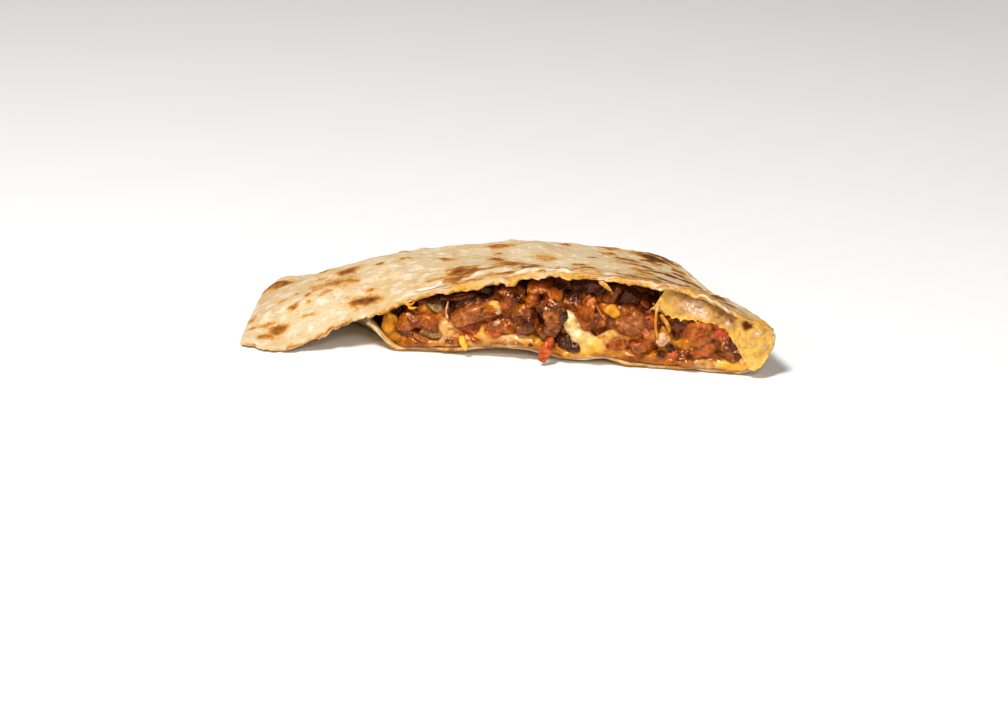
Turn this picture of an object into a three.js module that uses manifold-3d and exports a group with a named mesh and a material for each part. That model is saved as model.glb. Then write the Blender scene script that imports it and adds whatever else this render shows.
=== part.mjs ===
// A wedge of a filled, griddled flour tortilla: one thin sheet folded over at the right, its rims
// pressed together at the back, and cut open along the front, where the filling shows.
// Millimetres, +Z up, the cut faces -Y, and the origin is under the middle of the wedge's box.
import * as THREE from "three";
import { mergeVertices } from "three/addons/utils/BufferGeometryUtils.js";
import Module from "manifold-3d";

const wasm = await Module();
wasm.setup();

// ---------------------------------------------------------------- driving dimensions

const THICK = 1.8; // the tortilla
const HALF = THICK / 2;
const GAP = 0.35; // clearance between two nodes
const RIM_GAP = 0.5; // between the two rims at the back

// Plan of the wedge, before it is centred: the corners, and the cut edge's y for its x.
const LEFT_FRONT = [-98, -6];
const LEFT_BACK = [-106, 48];
const APEX = [14, 93];
const RIGHT = [64, 0.5];
const CUT_LINE = [
  [-98, -6], [-90, -8.6], [-83, -9.4], [-74, -6], [-64, -2.6], [-54, -0.8], [-40, 0], [64, 0.5],
];
const BACK_BULGE = 5; // how far the back rim bows out
const CORNER_PULL = [0.02, 0.1]; // how far the left and right back corners are rounded off, as a share
const CENTRE = [-20.15, 40.35]; // middle of the wedge's box, in plan

// Heights of the top sheet: along the cut, and the crown behind it.
const CUT_HEIGHTS = [
  [-98, 1.1], [-90, 1.15], [-83, 1.5], [-74, 5], [-64, 9], [-54, 12.8], [-44, 17.4], [-30, 20.4],
  [-19, 24], [-6, 27], [10, 26.4], [26, 25.8], [40, 23.6], [52, 19], [64, 14.6],
];
const CROWN = 21; // highest part of the crown
const CROWN_START = 30; // distance over which the crown rises from the left edge
const CROWN_FROM = 0.42; // share of the depth where the crown takes over from the cut's heights
const CROWN_BACK = 0.2; // share of its height that the crown loses towards the back
const FOLD_DROP = 0.6; // share of its height that the crown loses at the fold
const FOLD_REACH = 22; // distance over which it does
const RIPPLE = 0.7; // height of the top sheet's soft ripples
const SEAM = 4; // width of the pressed rim
const SEAM_RISE = 17; // distance over which the sheet rises from the rim
const FLOOR_LIFT = 3; // how far the bottom sheet curls off the table at the cut
const LIFT_DEPTH = 24; // how far back from the cut it does
const FOLD_NOSE = 0.86; // height of the fold's nose, as a share of the fold's height
const FOLD_ROUND = 0.3; // depth of its round above the nose, as such a share
const FOLD_UNDER = 0.9; // and below it

// The pocket's left wall: the bottom sheet curls up to the top one.
const WALL_FOOT = [0.295, 0.11]; // its foot as a share of the row, at the cut and at the back
const WALL_RUN = 8.5; // how far it leans to the left
const WALL_GAP = 0.75; // from its upper edge to the top sheet

// ---------------------------------------------------------------- small helpers

const range = (count) => Array.from({ length: count + 1 }, (_, i) => i / count);
const degrees = (d) => (d * Math.PI) / 180;
const clamp = (t) => Math.min(1, Math.max(0, t));
const lerp = (a, b, t) => a + (b - a) * t;
const smooth = (t) => clamp(t) ** 2 * (3 - 2 * clamp(t));
const bump = (x, middle, width) => Math.exp(-(((x - middle) / width) ** 2));

// The curve through the knots [[x, y], ...], smooth at each.
function profile(knots, x) {
  const last = knots.length - 1;
  const at = clamp((x - knots[0][0]) / (knots[last][0] - knots[0][0]));
  const xx = lerp(knots[0][0], knots[last][0], at);
  let i = 0;
  while (i < last - 1 && xx > knots[i + 1][0]) i += 1;
  const slope = (j) => {
    const a = knots[Math.max(0, j - 1)];
    const b = knots[Math.min(last, j + 1)];
    return (b[1] - a[1]) / (b[0] - a[0]);
  };
  const [x0, y0] = knots[i];
  const [x1, y1] = knots[i + 1];
  const w = x1 - x0;
  const t = (xx - x0) / w;
  return (
    (2 * t ** 3 - 3 * t ** 2 + 1) * y0 +
    (t ** 3 - 2 * t ** 2 + t) * w * slope(i) +
    (3 * t ** 2 - 2 * t ** 3) * y1 +
    (t ** 3 - t ** 2) * w * slope(i + 1)
  );
}

// ---------------------------------------------------------------- the folded sheet's middle surface
// a runs along a row, 0 at the left edge and 1 at the fold; v runs from 0 at the cut to 1 at the back.

function plan(a, v) {
  const fx = lerp(LEFT_FRONT[0], RIGHT[0], a);
  const fy = profile(CUT_LINE, fx);
  const bow = BACK_BULGE * Math.sin(Math.PI * clamp(a));
  const bx = lerp(LEFT_BACK[0], APEX[0], a) - 0.37 * bow;
  const by = lerp(LEFT_BACK[1], APEX[1], a) + 0.93 * bow;
  const nearBack = clamp((v - 0.75) / 0.25) ** 2;
  const nearSide = clamp((Math.abs(2 * a - 1) - 0.78) / 0.22) ** 2;
  const pull = lerp(...CORNER_PULL, a) * nearBack * nearSide;
  return [lerp(lerp(fx, bx, v), CENTRE[0], pull), lerp(lerp(fy, by, v), CENTRE[1], pull)];
}

const rowLength = (v) => Math.hypot(plan(1, v)[0] - plan(0, v)[0], plan(1, v)[1] - plan(0, v)[1]);
const columnLength = (a) => Math.hypot(plan(a, 1)[0] - plan(a, 0)[0], plan(a, 1)[1] - plan(a, 0)[1]);

function floorHeight(a, v) {
  const [x, y] = plan(a, v);
  const lift = FLOOR_LIFT * (bump(x, -16, 15) + 0.55 * bump(x, 13, 6));
  return HALF + lift * (1 - smooth(y / LIFT_DEPTH));
}

function topHeight(a, v) {
  const [x, y] = plan(a, v);
  const cutX = lerp(LEFT_FRONT[0], RIGHT[0], a);
  const fromLeft = a * rowLength(v);
  const fromFold = (1 - a) * rowLength(v);
  const cut = profile(CUT_HEIGHTS, cutX);
  const crown =
    HALF + CROWN * (1 - Math.exp(-fromLeft / CROWN_START)) *
    (1 - FOLD_DROP * Math.exp(-fromFold / FOLD_REACH)) * (1 - CROWN_BACK * smooth((v - 0.25) / 0.75));
  const inside = lerp(cut, crown, smooth(v / CROWN_FROM));
  const ripple =
    RIPPLE * Math.sin(x / 8 + y / 13) * Math.sin(y / 9 - x / 21 + 1) * smooth(fromLeft / CROWN_START);
  const rim = 3 * HALF + RIM_GAP;
  const open = smooth(((1 - v) * columnLength(a) - SEAM) / SEAM_RISE);
  return lerp(Math.min(rim, inside), inside + ripple, open);
}

// The fold at the right: a quarter of an ellipse from the top sheet down to the nose, and a deeper one
// from the nose down to the bottom sheet.
const foldHeight = (v) => topHeight(1, v) - floorHeight(1, v);
const beforeFold = (v, share) => 1 - (share * foldHeight(v)) / rowLength(v);
const wallFoot = (v) => lerp(...WALL_FOOT, smooth(v / 0.95));

// A point of the sheet's middle surface. side is 1 on the top sheet and -1 on the bottom one.
function sheetPoint(a, v, side, round = 0) {
  const [x, y] = plan(a, v);
  const end = beforeFold(v, FOLD_ROUND);
  const level = side > 0 ? topHeight(Math.min(a, end), v) : floorHeight(a, v);
  const nose = lerp(floorHeight(end, v), topHeight(end, v), FOLD_NOSE);
  return [x, y, lerp(level, nose, 1 - Math.cos(round))];
}

// The line that the sheet follows at one v: top sheet, fold, bottom sheet, left wall.
function sheetRow(v, tops, rounds, bottoms, walls) {
  const row = [];
  const length = rowLength(v);
  const end = beforeFold(v, FOLD_ROUND);
  const foot = wallFoot(v);
  for (let i = 0; i < tops; i += 1) row.push(sheetPoint((end * i) / tops, v, 1));
  for (let i = 0; i <= 2 * rounds; i += 1) {
    const angle = (Math.PI * i) / (2 * rounds);
    const side = angle <= Math.PI / 2 ? 1 : -1;
    const a = beforeFold(v, (side > 0 ? FOLD_ROUND : FOLD_UNDER) * (1 - Math.sin(angle)));
    row.push(sheetPoint(a, v, side, side > 0 ? angle : Math.PI - angle));
  }
  const under = beforeFold(v, FOLD_UNDER);
  for (let i = 1; i <= bottoms; i += 1) row.push(sheetPoint(lerp(under, foot, i / bottoms), v, -1));
  for (let i = 1; i <= walls; i += 1) {
    const t = i / walls;
    const a = foot - (t * WALL_RUN) / length;
    const [x, y, z] = sheetPoint(a, v, -1);
    const roofed = topHeight(a, v) - THICK - WALL_GAP;
    row.push([x, y, Math.max(z, lerp(z, roofed, t ** 1.4))]);
  }
  return row;
}

// ---------------------------------------------------------------- meshes and solids

function solidFrom(vertices, faces) {
  const raw = new THREE.BufferGeometry()
    .setAttribute("position", new THREE.BufferAttribute(new Float32Array(vertices.flat()), 3))
    .setIndex(faces.flat());
  const merged = mergeVertices(raw, 1e-3);
  return new wasm.Manifold(
    new wasm.Mesh({
      numProp: 3,
      vertProperties: merged.attributes.position.array,
      triVerts: new Uint32Array(merged.index.array),
    }),
  );
}

// The closed solid between two grids of points of the same size, over rows and columns. upper is
// seen from outside with its rows running away and its columns running right.
function between(upper, lower) {
  const rows = upper.length;
  const columns = upper[0].length;
  const vertices = [...upper.flat(), ...lower.flat()];
  const top = (r, c) => r * columns + c;
  const under = (r, c) => rows * columns + r * columns + c;
  const faces = [];
  const quad = (a, b, c, d) => faces.push([a, b, c], [a, c, d]);
  for (let r = 0; r < rows - 1; r += 1)
    for (let c = 0; c < columns - 1; c += 1) {
      quad(top(r, c), top(r, c + 1), top(r + 1, c + 1), top(r + 1, c));
      quad(under(r, c), under(r + 1, c), under(r + 1, c + 1), under(r, c + 1));
    }
  for (let c = 0; c < columns - 1; c += 1) {
    quad(under(0, c), under(0, c + 1), top(0, c + 1), top(0, c));
    quad(top(rows - 1, c), top(rows - 1, c + 1), under(rows - 1, c + 1), under(rows - 1, c));
  }
  for (let r = 0; r < rows - 1; r += 1) {
    quad(top(r, 0), top(r + 1, 0), under(r + 1, 0), under(r, 0));
    quad(under(r, columns - 1), under(r + 1, columns - 1), top(r + 1, columns - 1), top(r, columns - 1));
  }
  return solidFrom(vertices, faces);
}

// The grid's own normals, from its neighbours.
function gridNormals(grid) {
  const pick = (r, c) => {
    const rr = Math.min(grid.length - 1, Math.max(0, r));
    return new THREE.Vector3(...grid[rr][Math.min(grid[0].length - 1, Math.max(0, c))]);
  };
  return grid.map((row, r) =>
    row.map((_, c) => {
      const along = pick(r, c + 1).sub(pick(r, c - 1));
      return along.cross(pick(r + 1, c).sub(pick(r - 1, c))).normalize();
    }),
  );
}

// A sheet of even thickness, half of it on each side of the grid.
function sheetSolid(grid, half) {
  const normals = gridNormals(grid);
  const moved = (by) =>
    grid.map((row, r) =>
      row.map((p, c) => {
        const n = normals[r][c];
        return [p[0] + n.x * by, p[1] + n.y * by, p[2] + n.z * by];
      }),
    );
  return between(moved(half), moved(-half));
}

// A lump with uneven sides. size holds its three radii and turn its angle about the y axis.
function lump(centre, size, turn, seed, grow) {
  const geometry = new THREE.IcosahedronGeometry(1, size[0] > 3.5 ? 2 : 1);
  geometry.deleteAttribute("normal");
  geometry.deleteAttribute("uv");
  const merged = mergeVertices(geometry, 1e-4);
  const at = merged.attributes.position;
  const p = new THREE.Vector3();
  for (let i = 0; i < at.count; i += 1) {
    p.fromBufferAttribute(at, i);
    const rough = 1 + 0.1 * Math.sin(4.1 * p.x + 2.3 * seed) * Math.cos(3.7 * p.z + seed) +
      0.07 * Math.sin(6.3 * p.y + 5.1 * p.z + 3 * seed);
    p.set(p.x * (size[0] * rough + grow), p.y * (size[1] * rough + grow), p.z * (size[2] * rough + grow));
    p.applyAxisAngle(new THREE.Vector3(0, 1, 0), turn);
    at.setXYZ(i, p.x + centre[0], p.y + centre[1], p.z + centre[2]);
  }
  const points = Array.from({ length: at.count }, (_, i) => [at.getX(i), at.getY(i), at.getZ(i)]);
  const index = merged.index.array;
  const faces = Array.from({ length: index.length / 3 }, (_, i) => [...index.subarray(3 * i, 3 * i + 3)]);
  return solidFrom(points, faces);
}

// ---------------------------------------------------------------- tortilla

const ROWS = range(13).map((t) => lerp(t, t ** 0.9, 0.4));

const foldedSheet = (half) => sheetSolid(ROWS.map((v) => sheetRow(v, 34, 4, 18, 3)), half);

// The inner layer behind the cut at the right: it hangs from the top sheet, and closes the end of the
// pocket. Its lower edge's height for its x:
const CURTAIN_EDGE = [
  [27, 18.2], [32, 16.6], [42, 15.4], [48, 13.2], [52, 11.6], [55, 6.4], [58, 3], [62.3, 7.2],
];
const CURTAIN_HALF = 0.7;
const CURTAIN_FRONT = 1.6;

function curtain(half) {
  const last = CURTAIN_EDGE.length - 1;
  const grid = range(4).map((t) =>
    range(12).map((s) => {
      const x = lerp(lerp(CURTAIN_EDGE[0][0], CURTAIN_EDGE[last][0], s), CURTAIN_EDGE[last][0], 0.12 * t);
      const a = (x - LEFT_FRONT[0]) / (RIGHT[0] - LEFT_FRONT[0]);
      const high = sheetPoint(Math.min(a, 0.985), 0.03, 1)[2] - 0.3 - smooth((x - 57) / 5);
      const lean = 2.2 * t * (1 - smooth((x - 50) / 8));
      return [x, CURTAIN_FRONT + lean, lerp(profile(CURTAIN_EDGE, x), high, t)];
    }),
  );
  return sheetSolid(grid, half);
}

// A browned corner of a second layer, under the left end of the bottom sheet.
const CORNER_FLAP = { x: [-56, -36], y: [-1.6, 9], half: 0.7, rise: 0.35 };

function cornerFlap() {
  const { x, y, half, rise } = CORNER_FLAP;
  const point = (s, t) => [lerp(...x, s), lerp(...y, t), half + 0.05 + rise * s];
  return sheetSolid(range(2).map((t) => range(6).map((s) => point(s, t))), half);
}

const tortilla = foldedSheet(HALF).add(curtain(CURTAIN_HALF)).add(cornerFlap());
const tortillaAndGap = foldedSheet(HALF + GAP).add(curtain(CURTAIN_HALF + GAP));

// ---------------------------------------------------------------- filling
// Cheese lies on the bottom sheet and chopped meat on the cheese, both from the cut to the back seam.

const CLEAR = 0.65; // upright clearance to the sheet, where it slopes
const CHEESE_SHARE = [0.32, 0.17]; // of the pocket's height, at the left and at the right
const CHEESE_INSET = 1.2; // from the cut to the cheese's face
const MEAT_INSET = 3.2; // from the cut to the meat's face, behind its chunks
const CURTAIN_INSET = 5.2; // the same behind the inner layer
const BACK_INSET = SEAM + 9; // from the back rim to the filling's end
const FOLD_INSET = 0.68; // from the fold to the filling, as a share of the fold's height
const CHEESE_START = [1.8, 0.6]; // from the wall's foot to the left end of the cheese, below and above
const MEAT_START = [0.6, -4.5]; // the same for the meat, which follows the leaning wall
const MEAT_DROP = 2.2; // how far the heap sinks below the top sheet at the cut
const MEAT_ROUGH = 0.7; // unevenness of the heap's top

const roof = (a, v) => topHeight(a, v) - HALF - CLEAR;
const bed = (a, v) => floorHeight(a, v) + HALF + CLEAR;

function cheeseTop(a, v) {
  const [x, y] = plan(a, v);
  const even = lerp(CHEESE_SHARE[0], CHEESE_SHARE[1], smooth((x - 2) / 22));
  const share = even * (1 + 0.3 * Math.sin(x / 5.2 + y / 7) + 0.2 * Math.cos(y / 4.6 - x / 9));
  return lerp(bed(a, v), roof(a, v), share);
}

// A layer of the filling. start is how far its left end is from the wall's foot at its bottom and top,
// and grow moves its sides outward.
function layer(columns, rows, inset, start, bottom, top, grow = 0) {
  const outward = (t) => (t === 1 ? grow : 0) - (t === 0 ? grow : 0);
  const grid = (from, height) =>
    range(rows).map((t) =>
      range(columns).map((s) => {
        const column = lerp(lerp(...WALL_FOOT, t), 1, s);
        const [x] = plan(column, 0);
        const v = lerp(inset(x) / columnLength(column), 1 - BACK_INSET / columnLength(column), t);
        const a = lerp(wallFoot(v) + from / rowLength(v), beforeFold(v, FOLD_INSET), s);
        const [px, py] = plan(a, v);
        return [px + 2 * outward(s), py + outward(t), height(a, v, py)];
      }),
    );
  return between(grid(start[1], top), grid(start[0], bottom));
}

// Lumps of cheese at the cut: x, z, half width, half height.
const CHEESE_LUMPS = [
  [-51, 7.6, 2.4, 3], [-33, 7, 3.4, 2.6], [-22.5, 7.4, 2.6, 2], [-10.4, 7.4, 2.2, 2.2],
  [9, 6.8, 4.6, 3.4], [26, 8.4, 3, 2.6], [51, 3.4, 4.2, 1.7],
];
// Chunks of meat at the cut: x, z, half width, half height, turn in degrees.
const MEAT_CHUNKS = [
  [-43, 8.6, 6.6, 4.3, 6], [-32.6, 16.2, 4, 1.8, 10], [-26.5, 12.4, 7.8, 4.7, 12], [-16, 19, 4, 3, -8],
  [-17, 9.4, 5.2, 3, 0], [-10.2, 12.4, 5.4, 3.8, 20], [-1.6, 14.4, 3, 3.6, 0], [-3, 20.6, 3.6, 2.6, 15],
  [6.6, 14.8, 2.9, 6, 24], [9, 21.6, 4.4, 2.2, -5], [20, 13.2, 5, 5.3, -20], [24.6, 6.4, 4, 3, 10],
  [35.5, 5.4, 5, 2.6, -10], [46, 9.2, 9.6, 5, -6], [29, 16.4, 2.4, 2.6, 0],
];
const LUMP_DEPTH = 4.2; // half of a lump's size along y
const CHEESE_FRONT = -0.6; // y of the foremost point of its lumps
const MEAT_FRONT = -1; // y of the foremost point of its chunks

function lumps(list, front, grow) {
  return list
    .map(([x, z, wide, high, turn = 0], i) =>
      lump([x, front + LUMP_DEPTH, z], [wide, LUMP_DEPTH, high], -degrees(turn), i + 1, grow),
    )
    .reduce((all, next) => all.add(next));
}

const meatInset = (x) => lerp(MEAT_INSET, CURTAIN_INSET, smooth((x - 20) / 8));

function cheeseSolid(grow) {
  const top = (a, v) => cheeseTop(a, v) + grow;
  const bottom = (a, v) => bed(a, v) - grow;
  const sheet = layer(24, 8, () => CHEESE_INSET, CHEESE_START, bottom, top, grow);
  return sheet.add(lumps(CHEESE_LUMPS, CHEESE_FRONT, grow));
}

function meatSolid() {
  const top = (a, v, y) =>
    roof(a, v) - MEAT_DROP * (1 - smooth(y / 10)) - MEAT_ROUGH * (1 - Math.sin(y / 3.1 + 40 * a));
  return layer(22, 8, meatInset, MEAT_START, cheeseTop, top).add(lumps(MEAT_CHUNKS, MEAT_FRONT, 0));
}

// Single pieces among them: a charred lump, a piece of onion, and a strip of red pepper that hangs out.
const CHARRED = { centre: [2.6, 1.6, 5.9], size: [3.9, 3, 2.8] };
const ONION = { centre: [31, 1.9, 8.8], size: [2.7, 2.6, 2.3] };
const STRIP = {
  wide: 2.6,
  half: 0.6,
  path: [[-3, -0.9, 8.2], [-3.6, -2.3, 5.6], [-4.3, -3.4, 2.9], [-5, -4.1, 0.75]],
};

const charred = (grow) => lump(CHARRED.centre, CHARRED.size, degrees(12), 5, grow);
const onion = (grow) => lump(ONION.centre, ONION.size, 0, 8, grow);

function strip(grow) {
  const rows = range(8).map((t) => {
    const at = t * (STRIP.path.length - 1);
    const i = Math.min(STRIP.path.length - 2, Math.floor(at));
    return STRIP.path[i].map((from, axis) => lerp(from, STRIP.path[i + 1][axis], at - i));
  });
  const half = STRIP.wide / 2 + grow;
  const grid = rows.reverse().map(([x, y, z]) => range(3).map((s) => [x + lerp(-half, half, s), y, z]));
  return sheetSolid(grid, STRIP.half + grow);
}

const loose = [charred, onion, strip];
const largest = (solid) => solid.decompose().sort((p, q) => q.volume() - p.volume())[0];
const clearOf = (solid, others) => largest(others.reduce((left, other) => left.subtract(other), solid));
const looseAndGap = loose.map((make) => make(GAP));

const cheese = clearOf(cheeseSolid(0), [tortillaAndGap, ...looseAndGap]);
const meat = clearOf(meatSolid(), [tortillaAndGap, cheeseSolid(GAP), ...looseAndGap]);

// ---------------------------------------------------------------- nodes

function meshOf(name, solid, colour, roughness) {
  const made = solid.getMesh();
  const step = made.numProp;
  const points = new Float32Array(made.numVert * 3);
  for (let i = 0; i < made.numVert; i += 1)
    points.set(made.vertProperties.subarray(i * step, i * step + 3), 3 * i);
  const geometry = new THREE.BufferGeometry()
    .setAttribute("position", new THREE.BufferAttribute(points, 3))
    .setIndex(new THREE.BufferAttribute(made.triVerts, 1));
  geometry.computeVertexNormals();
  const material = new THREE.MeshStandardMaterial({ color: colour, roughness, metalness: 0 });
  const mesh = new THREE.Mesh(geometry, material);
  mesh.name = name;
  return mesh;
}

const wedge = new THREE.Group();
wedge.position.set(-CENTRE[0], -CENTRE[1], 0);
wedge.add(meshOf("tortilla", tortilla, 0xead9b4, 0.75));
wedge.add(meshOf("cheese", cheese, 0xf0bb45, 0.4));
wedge.add(meshOf("meat", meat, 0x95481f, 0.45));
wedge.add(meshOf("charred_piece", charred(0), 0x1d1412, 0.3));
wedge.add(meshOf("onion_piece", onion(0), 0xe9d3c0, 0.35));
wedge.add(meshOf("pepper_strip", strip(0), 0xc2451f, 0.35));

export default wedge;
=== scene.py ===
"""The looks of a wedge of quesadilla: a griddled flour tortilla folded over melted cheese and chopped
meat, lying with its cut side to the camera. Shapes are worked out in millimetres in the part's plan,
with the cut along x at y = 0, and are moved to the frame's origin as they become meshes."""

import functools
import math

import bmesh
import bpy
import numpy as np
from mathutils import Matrix, Vector


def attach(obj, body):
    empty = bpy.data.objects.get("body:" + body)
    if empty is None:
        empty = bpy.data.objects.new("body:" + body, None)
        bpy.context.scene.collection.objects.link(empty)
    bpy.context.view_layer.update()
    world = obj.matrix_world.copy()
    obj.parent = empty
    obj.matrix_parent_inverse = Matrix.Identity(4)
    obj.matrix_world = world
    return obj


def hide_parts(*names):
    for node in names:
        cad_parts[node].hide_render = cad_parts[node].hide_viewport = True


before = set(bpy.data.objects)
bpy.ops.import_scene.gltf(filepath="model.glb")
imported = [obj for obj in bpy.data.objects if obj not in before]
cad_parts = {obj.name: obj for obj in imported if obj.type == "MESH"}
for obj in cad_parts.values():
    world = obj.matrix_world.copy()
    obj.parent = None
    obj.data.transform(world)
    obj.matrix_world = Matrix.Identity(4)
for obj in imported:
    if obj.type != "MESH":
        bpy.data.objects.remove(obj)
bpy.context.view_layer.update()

MM = 0.001
CENTRE = (-20.15, 40.35)  # middle of the wedge's box, in plan

# ---- driving dimensions, as in the part

THICK = 1.8  # of the tortilla
HALF = THICK / 2
RIM_GAP = 0.5  # between the two rims at the back
LEFT_FRONT, LEFT_BACK, APEX, RIGHT = (-98, -6), (-106, 48), (14, 93), (64, 0.5)  # corners of the plan
CUT_LINE = [(-98, -6), (-90, -8.6), (-83, -9.4), (-74, -6), (-64, -2.6), (-54, -0.8), (-40, 0), (64, 0.5)]
BACK_BULGE = 5  # how far the back rim bows out
CORNER_PULL = (0.02, 0.1)  # how far the left and right back corners are rounded off, as a share
# Height of the top sheet's middle along the cut.
CUT_HEIGHTS = [
    (-98, 1.1), (-90, 1.15), (-83, 1.5), (-74, 5), (-64, 9), (-54, 12.8), (-44, 17.4), (-30, 20.4),
    (-19, 24), (-6, 27), (10, 26.4), (26, 25.8), (40, 23.6), (52, 19), (64, 14.6),
]
CROWN = 21  # highest part of the top sheet's crown
CROWN_START = 30  # distance over which the crown rises from the left edge
CROWN_FROM = 0.42  # share of the depth where the crown takes over from the cut's heights
CROWN_BACK = 0.2  # share of its height that the crown loses towards the back
FOLD_DROP = 0.6  # share of its height that the crown loses at the fold
FOLD_REACH = 22  # distance over which it does
RIPPLE = 0.7  # height of the top sheet's soft ripples
SEAM = 4  # width of the pressed rim
SEAM_RISE = 17  # distance over which the sheet rises from the rim
FLOOR_LIFT = 3  # how far the bottom sheet curls off the table at the cut
LIFT_DEPTH = 24  # how far back from the cut it does
FOLD_NOSE = 0.86  # height of the fold's nose, as a share of the fold's height
FOLD_ROUND = 0.3  # depth of its round above the nose, as such a share
FOLD_UNDER = 0.9  # and below it
WALL_FOOT = (0.295, 0.11)  # foot of the left wall as a share of the row, at the cut and at the back
WALL_RUN = 8.5  # how far the wall leans to the left
WALL_GAP = 0.75  # from its upper edge to the top sheet

OCTAVE_SHARE = 0.55  # of each octave's strength that the next one keeps, in shapes and in materials

# ---- small helpers


def clamp(t):
    return np.clip(t, 0.0, 1.0)


def lerp(a, b, t):
    return a + (b - a) * t


def smooth(t):
    t = clamp(t)
    return t * t * (3 - 2 * t)


def rise(x, start, width):
    """0 up to the start, then rising smoothly to 1 over the width."""
    return smooth((x - start) / width)


def bump(x, middle, width):
    return np.exp(-(((x - middle) / width) ** 2))


def profile(knots, x):
    """The curve through the knots (x, y), smooth at each."""
    kx, ky = np.array(knots, float).T
    slopes = np.empty_like(ky)
    slopes[1:-1] = (ky[2:] - ky[:-2]) / (kx[2:] - kx[:-2])
    slopes[0] = (ky[1] - ky[0]) / (kx[1] - kx[0])
    slopes[-1] = (ky[-1] - ky[-2]) / (kx[-1] - kx[-2])
    x = np.clip(x, kx[0], kx[-1])
    i = np.clip(np.searchsorted(kx, x, side="right") - 1, 0, len(kx) - 2)
    w = kx[i + 1] - kx[i]
    t = (x - kx[i]) / w
    return (
        (2 * t**3 - 3 * t**2 + 1) * ky[i] + (t**3 - 2 * t**2 + t) * w * slopes[i]
        + (3 * t**2 - 2 * t**3) * ky[i + 1] + (t**3 - t**2) * w * slopes[i + 1]
    )


def lattice(i, j, k, seed):
    """A fixed pseudo-random number from -1 to 1 for each whole point."""
    h = (i * 374761393 + j * 668265263 + k * 1274126177 + seed * 974634777) & 0xFFFFFFFF
    h = ((h ^ (h >> 13)) * 1103515245) & 0xFFFFFFFF
    h = h ^ (h >> 16)
    return (h & 0xFFFFFF) / 0x7FFFFF - 1.0  # the low 24 bits


def noise(p, size, seed):
    """Smooth noise from -1 to 1 at the points p, with features about size across. Each use has its seed."""
    q = np.asarray(p, float) / size
    cell = np.floor(q).astype(np.int64)
    f = q - cell
    f = f * f * (3 - 2 * f)
    total = 0.0
    for corner in range(8):
        step = [(corner >> axis) & 1 for axis in range(3)]
        weight = 1.0
        for axis in range(3):
            weight = weight * (f[..., axis] if step[axis] else 1 - f[..., axis])
        total = total + weight * lattice(*(cell[..., axis] + step[axis] for axis in range(3)), seed)
    return total


def fractal(p, size, seed, octaves):
    """Noise with finer noise over it, each octave half as wide as the last."""
    total, weight, reach = 0.0, 1.0, 0.0
    for octave in range(octaves):
        total = total + weight * noise(p, size / 2**octave, seed + 17 * octave)
        reach += weight
        weight *= OCTAVE_SHARE
    return total / reach


def rgb(text):
    """A colour such as "#C0FFEE" as linear red, green and blue."""
    parts = [int(text[i : i + 2], 16) / 255 for i in (1, 3, 5)]
    return np.array([c / 12.92 if c <= 0.04045 else ((c + 0.055) / 1.055) ** 2.4 for c in parts])


def points_at(x, y, z):
    return np.stack(np.broadcast_arrays(x, y, z), axis=-1)


def xyz(points):
    """Views of the points' places along x, y and z."""
    return np.moveaxis(points, -1, 0)


def unit_grid(rows, columns):
    """From 0 to 1 over the rows, and over the columns."""
    return np.linspace(0, 1, rows)[:, None], np.linspace(0, 1, columns)[None, :]


# ---- the folded sheet, as in the part
# a runs along a row, 0 at the left edge and 1 at the fold; v runs from 0 at the cut to 1 at the back.


def plan(a, v):
    fx = lerp(LEFT_FRONT[0], RIGHT[0], a)
    fy = profile(CUT_LINE, fx)
    bow = BACK_BULGE * np.sin(np.pi * clamp(a))
    bx = lerp(LEFT_BACK[0], APEX[0], a) - 0.37 * bow
    by = lerp(LEFT_BACK[1], APEX[1], a) + 0.93 * bow
    near_back = clamp((v - 0.75) / 0.25) ** 2
    near_side = clamp((np.abs(2 * a - 1) - 0.78) / 0.22) ** 2
    pull = lerp(*CORNER_PULL, a) * near_back * near_side
    return lerp(lerp(fx, bx, v), CENTRE[0], pull), lerp(lerp(fy, by, v), CENTRE[1], pull)


def span(p, q):
    return np.hypot(q[0] - p[0], q[1] - p[1])


def row_length(v):
    return span(plan(0, v), plan(1, v))


def column_length(a):
    return span(plan(a, 0), plan(a, 1))


def floor_height(a, v):
    x, y = plan(a, v)
    lift = FLOOR_LIFT * (bump(x, -16, 15) + 0.55 * bump(x, 13, 6))
    return HALF + lift * (1 - smooth(y / LIFT_DEPTH))


def top_height(a, v):
    x, y = plan(a, v)
    from_left = a * row_length(v)
    from_fold = (1 - a) * row_length(v)
    cut = profile(CUT_HEIGHTS, lerp(LEFT_FRONT[0], RIGHT[0], a))
    crown = HALF + (
        CROWN * (1 - np.exp(-from_left / CROWN_START)) * (1 - FOLD_DROP * np.exp(-from_fold / FOLD_REACH))
        * (1 - CROWN_BACK * rise(v, 0.25, 0.75))
    )
    inside = lerp(cut, crown, smooth(v / CROWN_FROM))
    ripple = RIPPLE * np.sin(x / 8 + y / 13) * np.sin(y / 9 - x / 21 + 1) * smooth(from_left / CROWN_START)
    open_ = smooth(((1 - v) * column_length(a) - SEAM) / SEAM_RISE)
    return lerp(np.minimum(3 * HALF + RIM_GAP, inside), inside + ripple, open_)


def before_fold(v, share):
    """The a of a place so far before the fold, as a share of the fold's height."""
    height = top_height(1, v) - floor_height(1, v)
    return 1 - share * height / row_length(v)


def wall_foot(v):
    return lerp(*WALL_FOOT, smooth(v / 0.95))


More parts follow.
